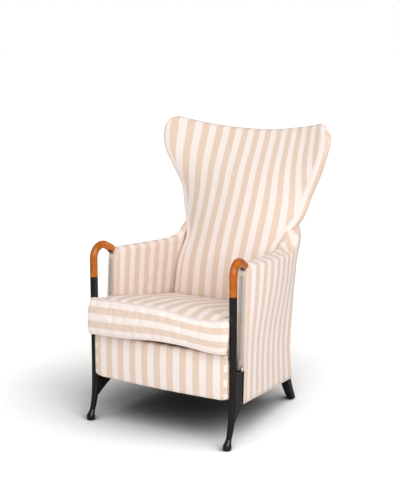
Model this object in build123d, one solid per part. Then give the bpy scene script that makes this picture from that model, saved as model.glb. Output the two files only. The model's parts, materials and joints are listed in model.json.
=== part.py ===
from build123d import *
import os
from math import atan2, cos, degrees, radians, sin, tan

# A wingback armchair, in millimetres. The sitter faces -Y, +Z is up and the floor is Z = 0.
# Left is the sitter's left, +X. Each left piece is built once and mirrored to the right.

# Clearances
FIT = 0.3                # round every soft piece and every loose joint
GLUE = 0.1               # between glued or screwed faces
PIN_GAP = 0.2            # round dowels, pins and screws
REACH = 1200             # longer than the chair, for cutting blocks

# Arm height, from the zips down the arm fronts
ZIP_Z = 268
ZIP_L = 318
ZIP_HEAD_GAP = 42        # from the zip's head to the arm's top corner
ARM_HEIGHT = ZIP_Z + ZIP_L + ZIP_HEAD_GAP

# Front posts and legs
POST_X = 291
POST_Y = -304
POST_D = 28
HANDLE_RISE = 48         # the handle's corner above the arm
HANDLE_L = 141           # from the corner down to the joint with the black post
HANDLE_CORNER_Z = ARM_HEIGHT + HANDLE_RISE
POST_TOP = HANDLE_CORNER_Z - HANDLE_L
KNEE_Z = 205             # below this height the leg tapers and sweeps forward
SHIN_Z, SHIN_D, SHIN_SWEEP = 120, 26, 4
CALF_Z, CALF_D, CALF_SWEEP = 70, 22.5, 13
ANKLE_Z, ANKLE_D, ANKLE_SWEEP = 38, 20, 24
FOOT_D = 30
FOOT_Z = 21              # top of the pad foot
FOOT_SWEEP = 35
FOOT_ROUND = 6
GLIDE_D = 17
GLIDE_T = 3
GLIDE_PIN_D = 3
GLIDE_PIN_L = 12

# Cane handles
HANDLE_BEND = 44
TAIL_X = 279
TAIL_Y = -206
TAIL_Z = ARM_HEIGHT - 6
TAIL_ROUND = 5
DOWEL_D = 10
DOWEL_L = 52

# Arms: a padded side on a plane that turns in towards the rear
ARM_YAW = 6.5
ARM_X = 300              # outer face at the front hem corner
ARM_Y = -240
ARM_T = 42
ARM_EDGE_R = 12
ARM_BOTTOM = 256         # underside of the padding, above the side rail
ARM_FRONT_TOP = (28, ARM_HEIGHT)
ARM_FRONT_R = 34
ARM_DIP = (437, ARM_HEIGHT - 25)    # where the arm starts to sweep up into the wing
ARM_SWEEP_R = 80
ARM_PEAK_Z = 742
ARM_PEAK_FRONT = 499
ARM_PEAK_REAR = 541
ARM_REAR_WAIST = (440, 258)
ARM_REAR_HEM = (466, 100)
ARM_HEM_R = 4
ARM_PEAK_R = 12
GUSSET_EDGE = 12         # width of the arm's top outside the slanted gusset below the wing
GUSSET_FIN = 14          # width of the gusset's upper end
ARM_WAIST_R = 200
HEM_FRONT_Z = 143
SKIN_T = 6               # cover and wadding below the padding
PANEL_T = 22             # plywood arm panel
PANEL_DEPTH = 9          # padding between the cover's face and the panel
PANEL_FRAME = 46         # width of wood round the panel's window
PANEL_TOP_PAD = 26
PANEL_REAR = 410
PANEL_WINDOW_R = 20

# Seat frame
RAIL_T = 24
RAIL_BOTTOM = 176
RAIL_ROUGH_TOP = 330     # sawn height before the tops are bevelled to the seat's slope
TENON_T = 10
TENON_H = 60
TENON_L = 16
KNEE_REAR = 130          # how far the knee bracket runs along the side
KNEE_TIP = (-64, 91)     # where its curved underside starts at the leg
KNEE_BULGE = (10, 138)   # a point on the curved underside
CORNER_LEG = 58
CORNER_H = 60
SCREW_D = 5
SCREW_L = 34
SCREW_HEAD_D = 9
SCREW_HEAD_T = 3
SCREW_LIFTS = (20, 40)   # heights in the corner block

# Rear legs
REAR_BLOCK = 38          # square head inside the frame's corner
REAR_BLOCK_Y = 175
REAR_LEG_R = 3
REAR_SHIN_Z, REAR_SHIN_Y, REAR_SHIN_W, REAR_SHIN_D = 96, 212, 33, 36
REAR_FOOT_X, REAR_FOOT_Y, REAR_FOOT_W, REAR_FOOT_D = 226, 263, 25, 28

# Seat: deck and cushion lie on a plane that falls to the rear
SEAT_PITCH = 7
SEAT_Z = 334             # top of the deck above the post line
DECK_T = 20
STRAP_T = 2.6
STRAP_W = 46
STRAP_COUNT = 6
STRAP_PITCH = 54
DECK_FRONT = -290
DECK_REAR = 80
DECK_EDGE_R = 6

# Loose cushion, in the seat plane: y runs rearwards from the post line
CUSHION_T = 124          # height of the boxed side
CUSHION_CROWN = 13       # rise of the top panel
CUSHION_FRONT = -66
CUSHION_BOW = 16         # how far the front bows out at the middle
CUSHION_BOW_R = 4000
CUSHION_NOTCH = -36      # the front ears end here, just ahead of the posts
CUSHION_REAR = 371
CUSHION_EAR = 283
CUSHION_GAP = 3          # to the arms on each side
CUSHION_CORNER_R = 13
CUSHION_REAR_R = 30
CUSHION_NOTCH_R = 6
# height as drawn from the bottom seam, and how far the outline is drawn in there
BOXING = [(0, 0.965), (9, 0.988), (62, 1.0), (115, 0.988), (CUSHION_T, 0.965)]
CROWN = [(0, 0.965), (6.2, 0.72), (10.4, 0.46), (CUSHION_CROWN, 0.2)]
CORE_BOTTOM = 14
CORE_T = 96
CORE_INSET = 24          # wadding and cover round the foam core

# Apron over the front rail
APRON_BOTTOM = 168
APRON_TOP = 331
APRON_END = 276
APRON_FACE = -323        # front face at the ends
APRON_BOW = 12
APRON_REAR = -296
APRON_EDGE_R = 9

# Back: horizontal sections from the seat to above the crest
BACK_BOTTOM = 272
EDGE_R = 20              # bull-nosed wing edge
# height, half width, front middle, front edge, rear edge, rear middle
WING_SECTIONS = [
    (620, 207, 132, 172, 276, 284),
    (720, 262, 178, 245, 295, 306),
    (800, 287, 217, 264, 310, 323),
    (880, 324, 251, 256, 303, 340),
    (950, 353, 290, 245, 291, 357),
    (1010, 361, 322, 254, 300, 374),
    (1080, 352, 356, 266, 312, 394),
]
# height, front middle, front edge, rear edge, rear middle; as wide as the arms leave room for
SEAT_SECTIONS = [
    (BACK_BOTTOM, 84, 92, 200, 203),
    (420, 87, 98, 236, 240),
    (540, 104, 126, 258, 264),
]
SEAT_FRONT_R = 24
SEAT_REAR_R = 8
CREST_Z = 1031           # lowest point of the crest
TIP_X, TIP_Z = 305, 1069
TIP_SHOULDER = (346, 1051)
TIP_SIDE = (368, 1000)
CREST_R = 12

# Back frame
STILE_X = 182
STILE_W = 32
STILE_T = 24
STILE_BEND_Z = 400
STILE_BEND_R = 500
STILE_TOP = (328, 1000)
STILE_FOOT_Z = 186
RAIL_HEIGHTS = {"lower_back_rail": 318, "lumbar_rail": 640, "crest_rail": 966}
BACK_RAIL_H = 44
BACK_RAIL_T = 22
WING_T = 12
WING_YAW = 17
WING_LEAN = 10
WING_Z = 900
# outwards from the stile, up from the middle, corner radius
WING_OUTLINE = [(30, -92, 20), (84, -10, 40), (112, 62, 24), (92, 96, 18)]
WING_ROOT = (-112, 82)   # where the board starts and ends on the stile
BACK_STRAP_W = 50
BACK_STRAP_T = 2.4
BACK_STRAP_HEIGHTS = (410, 500, 730, 820, 890)

# Outside back below the padding, and dust cover
BACK_PANEL_T = 6
BACK_PANEL_HEM = 104
DUST_T = 1

# Steel brackets under the handle tails
BRACKET_W = 14
BRACKET_T = 3
BRACKET_ARM = 24
BRACKET_DROP = 52
BRACKET_SCREW_D = 4
BRACKET_SCREW_L = 15
BRACKET_HEAD_D = 8
BRACKET_HEAD_T = 2.2
BRACKET_SCREW_DROPS = (24, 42)

# Zips
TAPE_W = 16
TAPE_T = 1.2
CHAIN_W = 5.5
CHAIN_T = 2.2
STOP_L = 4
STOP_SIDE = 0.6
SLIDER_W = 11
SLIDER_L = 14
SLIDER_REST = 10         # foot of the slider above the foot of the tape
SLIDER_WALL = 2.4
BRIDGE_W = 4
BRIDGE_L = 10
BRIDGE_H = 3
PULL_L = 26
PULL_W = 7.4
PULL_T = 1.4
PULL_PIN_D = 1.6

YAW_COS, YAW_SIN = cos(radians(ARM_YAW)), sin(radians(ARM_YAW))
ARM_PLANE = Plane(origin=(ARM_X, ARM_Y, 0), x_dir=(-YAW_SIN, YAW_COS, 0), z_dir=(YAW_COS, YAW_SIN, 0))
SEAT_PLANE = Plane(
    origin=(0, POST_Y, SEAT_Z), x_dir=(1, 0, 0),
    z_dir=(0, sin(radians(SEAT_PITCH)), cos(radians(SEAT_PITCH))))
FRONT_LEAN = degrees(atan2(ARM_FRONT_TOP[0], ARM_FRONT_TOP[1] - HEM_FRONT_Z))


def box(x0, x1, y0, y1, z0, z1):
    """Block between two corners."""
    return Pos((x0 + x1) / 2, (y0 + y1) / 2, (z0 + z1) / 2) * Box(x1 - x0, y1 - y0, z1 - z0)


def rounded(corners):
    """Face with (x, y, radius) corners."""
    points = [corner[:2] for corner in corners]
    radii = [corner[2] for corner in corners]
    return make_face(FilletPolyline(*points, radius=radii, close=True))


def arm_board(face, depth, thickness):
    """Board in the arm's plane: face in (along, up), depth inwards from the cover's outer face."""
    return extrude(ARM_PLANE.offset(-depth - thickness) * face, thickness)


def arm_front(z):
    """How far along the arm its leaning front face lies at a height."""
    return (z - HEM_FRONT_Z) * tan(radians(FRONT_LEAN))


def arm_inner_x(y, depth=ARM_T):
    """X of a plane at a depth inside the left arm, at a given Y."""
    return ARM_X - depth / YAW_COS - (y - ARM_Y) * tan(radians(ARM_YAW))


def deck_z(y, below=0):
    """Height of the seat plane, or of a plane parallel to it, at a given Y."""
    return SEAT_Z - (y - POST_Y) * tan(radians(SEAT_PITCH)) - below / cos(radians(SEAT_PITCH))


def one(shape):
    """The single solid of a shape."""
    return shape.solids()[0]


def largest(shape):
    """What is left of a shape once offcuts are dropped."""
    return shape.solids().sort_by(SortBy.VOLUME)[-1]


def arm_band(low, high):
    """Face in the arm's plane between two heights, a little longer than the arm."""
    far = ARM_PEAK_REAR + ARM_T
    return make_face(Polyline((-ARM_T, low), (far, low), (far, high), (-ARM_T, high), close=True))


def leg_disc(z, diameter, sweep, grow):
    return Pos(POST_X, POST_Y - sweep, z) * Circle(diameter / 2 + grow)


def front_leg(grow=0.0):
    """Post, swept leg and pad foot in one turned and shaped piece."""
    post = Pos(POST_X, POST_Y, (KNEE_Z + POST_TOP) / 2) * Cylinder(POST_D / 2 + grow, POST_TOP - KNEE_Z)
    shank = loft([
        leg_disc(KNEE_Z, POST_D, 0, grow),
        leg_disc(SHIN_Z, SHIN_D, SHIN_SWEEP, grow),
        leg_disc(CALF_Z, CALF_D, CALF_SWEEP, grow),
        leg_disc(ANKLE_Z, ANKLE_D, ANKLE_SWEEP, grow),
    ])
    flare = loft([
        leg_disc(ANKLE_Z, ANKLE_D, ANKLE_SWEEP, grow),
        leg_disc(FOOT_Z - FOOT_ROUND / 3, FOOT_D - FOOT_ROUND / 2, FOOT_SWEEP, grow),
    ], ruled=True)
    pad_z = (GLIDE_T + FOOT_Z) / 2
    pad = Pos(POST_X, POST_Y - FOOT_SWEEP, pad_z) * Cylinder(FOOT_D / 2 + grow, FOOT_Z - GLIDE_T)
    rims = pad.edges().filter_by(GeomType.CIRCLE).sort_by(Axis.Z)
    pad = fillet(rims[0], FOOT_ROUND)
    rims = pad.edges().filter_by(GeomType.CIRCLE).sort_by(Axis.Z)
    pad = fillet(rims[-1], FOOT_ROUND / 2)
    return one(post + shank + flare + pad)


def foot_places():
    """Middle of each left foot on the floor."""
    return [(POST_X, POST_Y - FOOT_SWEEP), (REAR_FOOT_X, REAR_FOOT_Y)]


def glide_pin(x, y, grow=0.0):
    length = GLIDE_PIN_L + grow
    return Pos(x, y, GLIDE_T + length / 2) * Cylinder(GLIDE_PIN_D / 2 + grow, length)


def floor_glides():
    """Nylon disc with a pin, one under each foot."""
    glides = []
    for x, y in foot_places():
        disc = Pos(x, y, GLIDE_T / 2) * Cylinder(GLIDE_D / 2, GLIDE_T)
        glide = one(disc + glide_pin(x, y))
        glides += [glide, mirror(glide, about=Plane.YZ)]
    return Compound(children=glides)


def cane_handle(grow=0.0):
    """Bent handle: a round stick up from the post, over a bend and down to the arm."""
    path = FilletPolyline(
        (POST_X, POST_Y, POST_TOP), (POST_X, POST_Y, HANDLE_CORNER_Z), (TAIL_X, TAIL_Y, TAIL_Z),
        radius=HANDLE_BEND)
    stick = sweep(Pos(POST_X, POST_Y, POST_TOP) * Circle(POST_D / 2 + grow), path=path)
    end = stick.faces().filter_by(GeomType.PLANE).sort_by(Axis.Y)[-1]
    return one(fillet(end.edges(), TAIL_ROUND))


def dowel(grow=0.0):
    return Pos(POST_X, POST_Y, POST_TOP) * Cylinder(DOWEL_D / 2 + grow, DOWEL_L + 2 * grow)


def rail_tenon(grow=0.0):
    """Tenon of the front rail in the left post."""
    shoulder = POST_X - POST_D / 2
    mid = (RAIL_BOTTOM + deck_z(POST_Y, DECK_T + STRAP_T)) / 2
    half_t, half_h = TENON_T / 2 + grow, TENON_H / 2 + grow
    return box(shoulder - GLUE, shoulder + TENON_L + grow,
               POST_Y - half_t, POST_Y + half_t, mid - half_h, mid + half_h)


def above_seat(below):
    """Everything above a plane parallel to the seat, to bevel the rails' tops."""
    return SEAT_PLANE.offset(-below) * Pos(0, 0, REACH / 2) * Box(REACH, REACH, REACH)


def front_rail():
    half = POST_X - POST_D / 4
    rail = box(-half, half, POST_Y - RAIL_T / 2, POST_Y + RAIL_T / 2, RAIL_BOTTOM, RAIL_ROUGH_TOP)
    rail -= above_seat(DECK_T + STRAP_T + 2 * FIT)
    for cut in (front_leg(grow=FIT), *corner_screws_left(grow=PIN_GAP)):
        rail -= cut
        rail -= mirror(cut, about=Plane.YZ)
    tenon = rail_tenon()
    rail += tenon
    rail += mirror(tenon, about=Plane.YZ)
    return largest(rail)


def knee_bracket():
    """Black bracket that braces the front leg against the side rail, with a curved underside."""
    under = ThreePointArc(KNEE_TIP, KNEE_BULGE, (KNEE_REAR, RAIL_BOTTOM))
    rest = Polyline(
        (KNEE_REAR, RAIL_BOTTOM), (KNEE_REAR, ARM_BOTTOM), (KNEE_TIP[0], ARM_BOTTOM), KNEE_TIP)
    bracket = arm_board(make_face(Curve() + [under, rest]), SKIN_T + FIT, RAIL_T)
    bracket -= front_leg(grow=GLUE)
    bracket -= box(0, ARM_X * 2, POST_Y * 2, POST_Y - CALF_SWEEP, 0, POST_TOP)
    bracket -= box(0, ARM_X * 2, POST_Y * 2, POST_Y + RAIL_T / 2 + GLUE, APRON_BOTTOM - FIT, POST_TOP)
    for hole in corner_screws_left(grow=PIN_GAP):
        bracket -= hole
    return largest(bracket)


def rear_leg_section(x, y, z, width, depth, grow):
    section = RectangleRounded(width + 2 * grow, depth + 2 * grow, REAR_LEG_R)
    return Pos(x, y, z) * Rot(0, 0, ARM_YAW) * section


def rear_head_x():
    """X of the middle of the rear leg's head, just inside the cover."""
    return arm_inner_x(REAR_BLOCK_Y, SKIN_T + 2 * FIT + REAR_BLOCK / 2)


def rear_leg(grow=0.0):
    """Square head in the corner of the frame, then a tapered leg raked to the rear."""
    head_x = rear_head_x()
    shin_x = arm_inner_x(REAR_SHIN_Y, SKIN_T + 3 * FIT + REAR_SHIN_W / 2)
    head = extrude(
        rear_leg_section(head_x, REAR_BLOCK_Y, RAIL_BOTTOM, REAR_BLOCK, REAR_BLOCK, grow),
        ARM_BOTTOM - RAIL_BOTTOM)
    shank = loft([
        rear_leg_section(head_x, REAR_BLOCK_Y, RAIL_BOTTOM, REAR_BLOCK, REAR_BLOCK, grow),
        rear_leg_section(shin_x, REAR_SHIN_Y, REAR_SHIN_Z, REAR_SHIN_W, REAR_SHIN_D, grow),
        rear_leg_section(REAR_FOOT_X, REAR_FOOT_Y, GLIDE_T, REAR_FOOT_W, REAR_FOOT_D, grow),
    ])
    return one(head + shank)


def side_rail():
    """Rail from the knee bracket to the head of the rear leg."""
    head = ARM_PLANE.to_local_coords(Vector(rear_head_x(), REAR_BLOCK_Y, 0))
    start, end = KNEE_REAR + GLUE, head.X - REAR_BLOCK / 2 - GLUE
    face = make_face(Polyline(
        (start, RAIL_BOTTOM), (end, RAIL_BOTTOM), (end, ARM_BOTTOM), (start, ARM_BOTTOM), close=True))
    return one(arm_board(face, SKIN_T + FIT, RAIL_T))


def rear_rail(legs):
    half = arm_inner_x(REAR_BLOCK_Y, SKIN_T + REAR_BLOCK / 2)
    front, rear = REAR_BLOCK_Y - RAIL_T / 2, REAR_BLOCK_Y + RAIL_T / 2
    rail = box(-half, half, front, rear, RAIL_BOTTOM, RAIL_ROUGH_TOP)
    rail -= above_seat(DECK_T + STRAP_T + 2 * FIT)
    rail -= legs
    rail -= mirror(legs, about=Plane.YZ)
    return largest(rail)


def corner_frame():
    """Inner corner between front rail and knee bracket: its place and the side's direction."""
    y = POST_Y + RAIL_T / 2 + GLUE
    x = arm_inner_x(y, SKIN_T + FIT + RAIL_T + GLUE)
    return Vector(x, y, RAIL_BOTTOM), Vector(-YAW_SIN, YAW_COS, 0)


def corner_screws_left(grow=0.0):
    """Two screws through the front corner block, one into each rail."""
    corner, side = corner_frame()
    alongs = (Vector(-1, 0, 0), side)
    intos = (Vector(0, -1, 0), Vector(YAW_COS, YAW_SIN, 0))
    screws = []
    for along, into, lift in zip(alongs, intos, SCREW_LIFTS):
        start = corner + along * (CORNER_LEG / 2) - into * (CORNER_LEG / 2 - SCREW_HEAD_T)
        start += Vector(0, 0, lift)
        place = Plane(origin=start, z_dir=into)
        shank = place * Pos(0, 0, SCREW_L / 2) * Cylinder(SCREW_D / 2 + grow, SCREW_L + 2 * grow)
        head = place * Pos(0, 0, -SCREW_HEAD_T / 2) * Cylinder(
            SCREW_HEAD_D / 2 + grow, SCREW_HEAD_T + 2 * grow)
        screws.append(one(shank + head))
    return screws


def corner_block():
    corner, side = corner_frame()
    triangle = make_face(Polyline(
        corner, corner + Vector(-CORNER_LEG, 0, 0), corner + side * CORNER_LEG, close=True))
    block = extrude(triangle, CORNER_H, dir=(0, 0, 1))
    return block


def pairs(solids):
    """A group of left solids with their mirror images."""
    return Compound(children=list(solids) + [mirror(solid, about=Plane.YZ) for solid in solids])


def arm_profile():
    return rounded([
        (0, HEM_FRONT_Z, ARM_HEM_R),
        (*ARM_FRONT_TOP, ARM_FRONT_R),
        (*ARM_DIP, ARM_SWEEP_R),
        (ARM_PEAK_FRONT, ARM_PEAK_Z, ARM_PEAK_R),
        (ARM_PEAK_REAR, ARM_PEAK_Z, ARM_PEAK_R),
        (*ARM_REAR_WAIST, ARM_WAIST_R),
        (*ARM_REAR_HEM, ARM_HEM_R),
    ])


def panel_outline(inset=0.0):
    """Corners of the plywood arm panel, or of its window when inset."""
    top_front = ARM_FRONT_TOP[1] - PANEL_TOP_PAD - inset
    bottom = ARM_BOTTOM + inset
    front = PANEL_DEPTH + inset
    fall = (ARM_FRONT_TOP[1] - ARM_DIP[1]) / (ARM_DIP[0] - ARM_FRONT_TOP[0])
    rear = PANEL_REAR - inset
    return [
        (arm_front(bottom) + front, bottom),
        (arm_front(top_front) + front, top_front),
        (rear, top_front - fall * (rear - arm_front(top_front) - front)),
        (rear, bottom),
    ]


def arm_panel_blank(grow=0.0):
    face = make_face(Polyline(*panel_outline(-grow), close=True))
    return arm_board(face, PANEL_DEPTH - grow, PANEL_T + 2 * grow)


def arm_panel():
    """Plywood panel with a window, standing on the side rail inside the arm."""
    window = rounded([(x, z, PANEL_WINDOW_R) for x, z in panel_outline(PANEL_FRAME)])
    return one(arm_panel_blank() - arm_board(window, PANEL_DEPTH, PANEL_T))


def gusset_room():
    """Room outside the slanted gusset where the arm's top turns up under the wing."""
    foot, head = ARM_DIP[1] + FIT, ARM_PEAK_Z + FIT
    section = make_face(Plane.YZ * Polyline(
        (foot, FIT), (foot, -GUSSET_EDGE), (head, GUSSET_FIN - ARM_T), (head, FIT), close=True))
    return ARM_PLANE * Pos(ARM_DIP[0] - ARM_SWEEP_R, 0, 0) * extrude(section, REACH, dir=(1, 0, 0))


def arm_cover(back_blank, handle_room, bracket_room):
    """Padded arm with its striped cover; below the padding only the outer side hangs to the hem."""
    arm = arm_board(arm_profile(), 0, ARM_T)
    rims = []
    for edge in arm.edges():
        middle = ARM_PLANE.to_local_coords(edge.center())
        on_a_side = min(abs(middle.Z), abs(middle.Z + ARM_T)) < GLUE
        front = middle.X < ARM_FRONT_TOP[0] and middle.Y > HEM_FRONT_Z + ARM_EDGE_R
        top = ARM_DIP[1] - ARM_EDGE_R < middle.Y < ARM_PEAK_Z - ARM_EDGE_R
        if on_a_side and (front or top):
            rims.append(edge)
    arm = fillet(rims, ARM_EDGE_R)
    arm -= gusset_room()
    arm -= arm_board(arm_band(0, ARM_BOTTOM + FIT), SKIN_T, ARM_T)
    arm -= arm_panel_blank(grow=FIT)
    arm -= back_blank
    arm -= handle_room
    arm -= bracket_room
    return largest(arm)


def back_section(z, front_half, rear_half, front_mid, front_edge, rear_edge, rear_mid, front_r, rear_r):
    """Bowed slab with rounded corners, as one horizontal section of the back."""
    def corner(x, y, radius, side, end):
        slant = radius * (1 - cos(radians(45)))
        return (side * (x - slant), y + end * slant)

    f, r = front_half, rear_half
    front_in, rear_in = f - front_r, r - rear_r
    front_side, rear_side = front_edge + front_r, rear_edge - rear_r
    edges = [
        ThreePointArc((-front_in, front_edge), (0, front_mid), (front_in, front_edge)),
        ThreePointArc((front_in, front_edge), corner(f, front_edge, front_r, 1, 1), (f, front_side)),
        Line((f, front_side), (r, rear_side)),
        ThreePointArc((r, rear_side), corner(r, rear_edge, rear_r, 1, -1), (rear_in, rear_edge)),
        ThreePointArc((rear_in, rear_edge), (0, rear_mid), (-rear_in, rear_edge)),
        ThreePointArc((-rear_in, rear_edge), corner(r, rear_edge, rear_r, -1, -1), (-r, rear_side)),
        Line((-r, rear_side), (-f, front_side)),
        ThreePointArc((-f, front_side), corner(f, front_edge, front_r, -1, 1), (-front_in, front_edge)),
    ]
    return Pos(0, 0, z) * Face(Wire(edges))


def back_blank(grow=0.0):
    """Back with its butterfly wings, before the crest is shaped."""
    sections = []
    for z, front_mid, front_edge, rear_edge, rear_mid in SEAT_SECTIONS:
        front_half = arm_inner_x(front_edge) - FIT + grow
        rear_half = arm_inner_x(rear_edge) - FIT + grow
        sections.append(back_section(
            z, front_half, rear_half, front_mid - grow, front_edge - grow,
            rear_edge + grow, rear_mid + grow, SEAT_FRONT_R, SEAT_REAR_R))
    for z, half, front_mid, front_edge, rear_edge, rear_mid in WING_SECTIONS:
        sections.append(back_section(
            z, half + grow, half + grow, front_mid - grow, front_edge - grow,
            rear_edge + grow, rear_mid + grow, EDGE_R, EDGE_R))
    joint = len(SEAT_SECTIONS) - 1
    return one(loft(sections[:joint + 1]) + loft(sections[joint:]))


def crest_keep():
    """Everything below the crest line, which dips between the two wing tips."""
    wide = TIP_SIDE[0] + ARM_T
    lines = Curve() + [
        Polyline((-TIP_SIDE[0], TIP_SIDE[1]), (-wide, TIP_SIDE[1] - ARM_T), (-wide, 0),
                 (wide, 0), (wide, TIP_SIDE[1] - ARM_T), (TIP_SIDE[0], TIP_SIDE[1])),
        ThreePointArc((TIP_SIDE[0], TIP_SIDE[1]), TIP_SHOULDER, (TIP_X, TIP_Z)),
        ThreePointArc((TIP_X, TIP_Z), (0, CREST_Z), (-TIP_X, TIP_Z)),
        ThreePointArc((-TIP_X, TIP_Z), (-TIP_SHOULDER[0], TIP_SHOULDER[1]), (-TIP_SIDE[0], TIP_SIDE[1])),
    ]
    return extrude(Plane.XZ * make_face(lines), REACH, both=True)


def back_upholstery(frame):
    """Padded back and wings with the striped cover, moulded round the wooden frame."""
    back = one(back_blank() & crest_keep())
    crest = [edge for edge in back.edges() if (edge @ 0.5).Z > TIP_SIDE[1] and edge.length > TIP_X]
    back = fillet(crest, CREST_R)
    for piece in frame:
        back -= piece
    return one(back)


def stile_path():
    foot_y = REAR_BLOCK_Y - RAIL_T / 2 - GLUE - STILE_T / 2
    return FilletPolyline(
        (STILE_X, foot_y, STILE_FOOT_Z), (STILE_X, foot_y, STILE_BEND_Z),
        (STILE_X, STILE_TOP[0], STILE_TOP[1]), radius=STILE_BEND_R)


def back_stile(grow=0.0):
    """Bent stile from the rear rail up to the crest."""
    path = stile_path()
    start = Plane(origin=path @ 0, x_dir=(1, 0, 0), z_dir=path % 0)
    return one(sweep(start * Rectangle(STILE_W + 2 * grow, STILE_T + 2 * grow), path=path))


def stile_place(z):
    """Point on the stile's middle line at a height, and its direction there."""
    path = stile_path()
    low, high = 0.0, 1.0
    for _ in range(40):
        mid = (low + high) / 2
        if (path @ mid).Z < z:
            low = mid
        else:
            high = mid
    return path @ low, path % low


def back_rail(z, grow=0.0):
    """Rail between the two stiles, square to their slope."""
    point, along = stile_place(z)
    half = STILE_X - STILE_W / 2 - GLUE + grow
    plane = Plane(origin=(0, point.Y, point.Z), x_dir=(1, 0, 0), z_dir=along)
    return plane * Box(2 * half, BACK_RAIL_T + 2 * grow, BACK_RAIL_H + 2 * grow)


def wing_frame(grow=0.0):
    """Shaped board that stiffens the wing, glued to the outside of the stile."""
    inner = STILE_X + STILE_W / 2 + GLUE
    point, _ = stile_place(WING_Z)
    turn = Vector(cos(radians(WING_YAW)), -sin(radians(WING_YAW)), 0)
    up = Vector(0, sin(radians(WING_LEAN)), cos(radians(WING_LEAN)))
    place = Plane(origin=(inner, point.Y, WING_Z), x_dir=turn, z_dir=turn.cross(up))
    low, high = WING_ROOT
    outline = rounded([(-STILE_W / 2, low, 0), *WING_OUTLINE, (-STILE_W / 2, high, 0)])
    board = extrude(place * outline, WING_T / 2 + grow, both=True)
    return one(board - box(0, inner - grow, -REACH, REACH, 0, REACH))


def back_straps(grow=0.0):
    """Webbing across the back, tacked to the front of the stiles."""
    straps = []
    half = STILE_X + STILE_W / 2
    for z in BACK_STRAP_HEIGHTS:
        point, along = stile_place(z)
        plane = Plane(origin=(0, point.Y, point.Z), x_dir=(1, 0, 0), z_dir=along)
        lie = STILE_T / 2 + GLUE + BACK_STRAP_T / 2
        straps.append(plane * Pos(0, -lie, 0) * Box(
            2 * (half + grow), BACK_STRAP_T + 2 * grow, BACK_STRAP_W + 2 * grow))
    return straps


def seat_straps():
    """Webbing from the front rail to the rear rail."""
    front = (DECK_T + STRAP_T + FIT) * tan(radians(SEAT_PITCH)) - RAIL_T / 2
    rear = (REAR_BLOCK_Y + RAIL_T / 2 - POST_Y) / cos(radians(SEAT_PITCH))
    straps = []
    for i in range(STRAP_COUNT):
        x = (i - (STRAP_COUNT - 1) / 2) * STRAP_PITCH
        flat = box(x - STRAP_W / 2, x + STRAP_W / 2, front, rear, -DECK_T - STRAP_T - FIT, -DECK_T - FIT)
        straps.append(SEAT_PLANE * flat)
    return Compound(children=straps)


def seat_deck():
    """Thin pad under the cushion, between apron, arms and back."""
    narrow = arm_inner_x(ARM_Y) - 2 * FIT
    rear_half = arm_inner_x(DECK_REAR) - 2 * FIT
    outline = make_face(Polyline(
        (-narrow, DECK_FRONT), (narrow, DECK_FRONT), (narrow, ARM_Y), (rear_half, DECK_REAR),
        (-rear_half, DECK_REAR), (-narrow, ARM_Y), close=True))
    slab = extrude(outline, RAIL_ROUGH_TOP * 2)
    lower = SEAT_PLANE.offset(-DECK_T / 2) * Box(REACH, REACH, DECK_T)
    pad = one(slab & lower)
    sides = pad.edges().filter_by(lambda edge: abs(edge.tangent_at(0.5).Z) > 0.9)
    return one(fillet(sides, DECK_EDGE_R))


def cushion_outline(draw=1.0):
    """Plan of the cushion with front ears, drawn in towards its middle."""
    middle = (CUSHION_FRONT + CUSHION_REAR) / 2
    arm_start = ARM_Y - POST_Y
    waist = arm_inner_x(ARM_Y) - CUSHION_GAP
    rear_half = arm_inner_x(POST_Y + CUSHION_REAR) - CUSHION_GAP
    left = [
        (CUSHION_EAR, CUSHION_FRONT, CUSHION_CORNER_R), (CUSHION_EAR, CUSHION_NOTCH, CUSHION_NOTCH_R),
        (waist, CUSHION_NOTCH, CUSHION_NOTCH_R), (waist, arm_start, CUSHION_REAR_R),
        (rear_half, CUSHION_REAR, CUSHION_REAR_R)]
    right = [(-x, y, r) for x, y, r in reversed(left)]
    corners = [(0, CUSHION_FRONT - CUSHION_BOW, CUSHION_BOW_R)] + left + right
    return rounded([(x * draw, middle + (y - middle) * draw, r * draw) for x, y, r in corners])


def cushion_levels(levels, bottom):
    return loft([SEAT_PLANE.offset(bottom + z) * cushion_outline(draw) for z, draw in levels])


def cushion_core(grow=0.0):
    """Foam slab inside the cushion, cut without the front ears."""
    inset = CORE_INSET - grow
    front_half = arm_inner_x(ARM_Y) - CUSHION_GAP - inset
    rear_half = arm_inner_x(POST_Y + CUSHION_REAR) - CUSHION_GAP - inset
    front, rear = CUSHION_FRONT + inset, CUSHION_REAR - inset
    outline = rounded([
        (-front_half, front, CUSHION_CORNER_R), (front_half, front, CUSHION_CORNER_R),
        (rear_half, rear, CUSHION_REAR_R), (-rear_half, rear, CUSHION_REAR_R)])
    return one(extrude(SEAT_PLANE.offset(CORE_BOTTOM - grow) * outline, CORE_T + 2 * grow))


def cushion_cover():
    """Boxed cushion: sides drawn in at both seams, full between them, with a crowned top."""
    cushion = cushion_levels(BOXING, FIT) + cushion_levels(CROWN, FIT + CUSHION_T)
    return one(cushion - cushion_core(grow=FIT))


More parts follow.
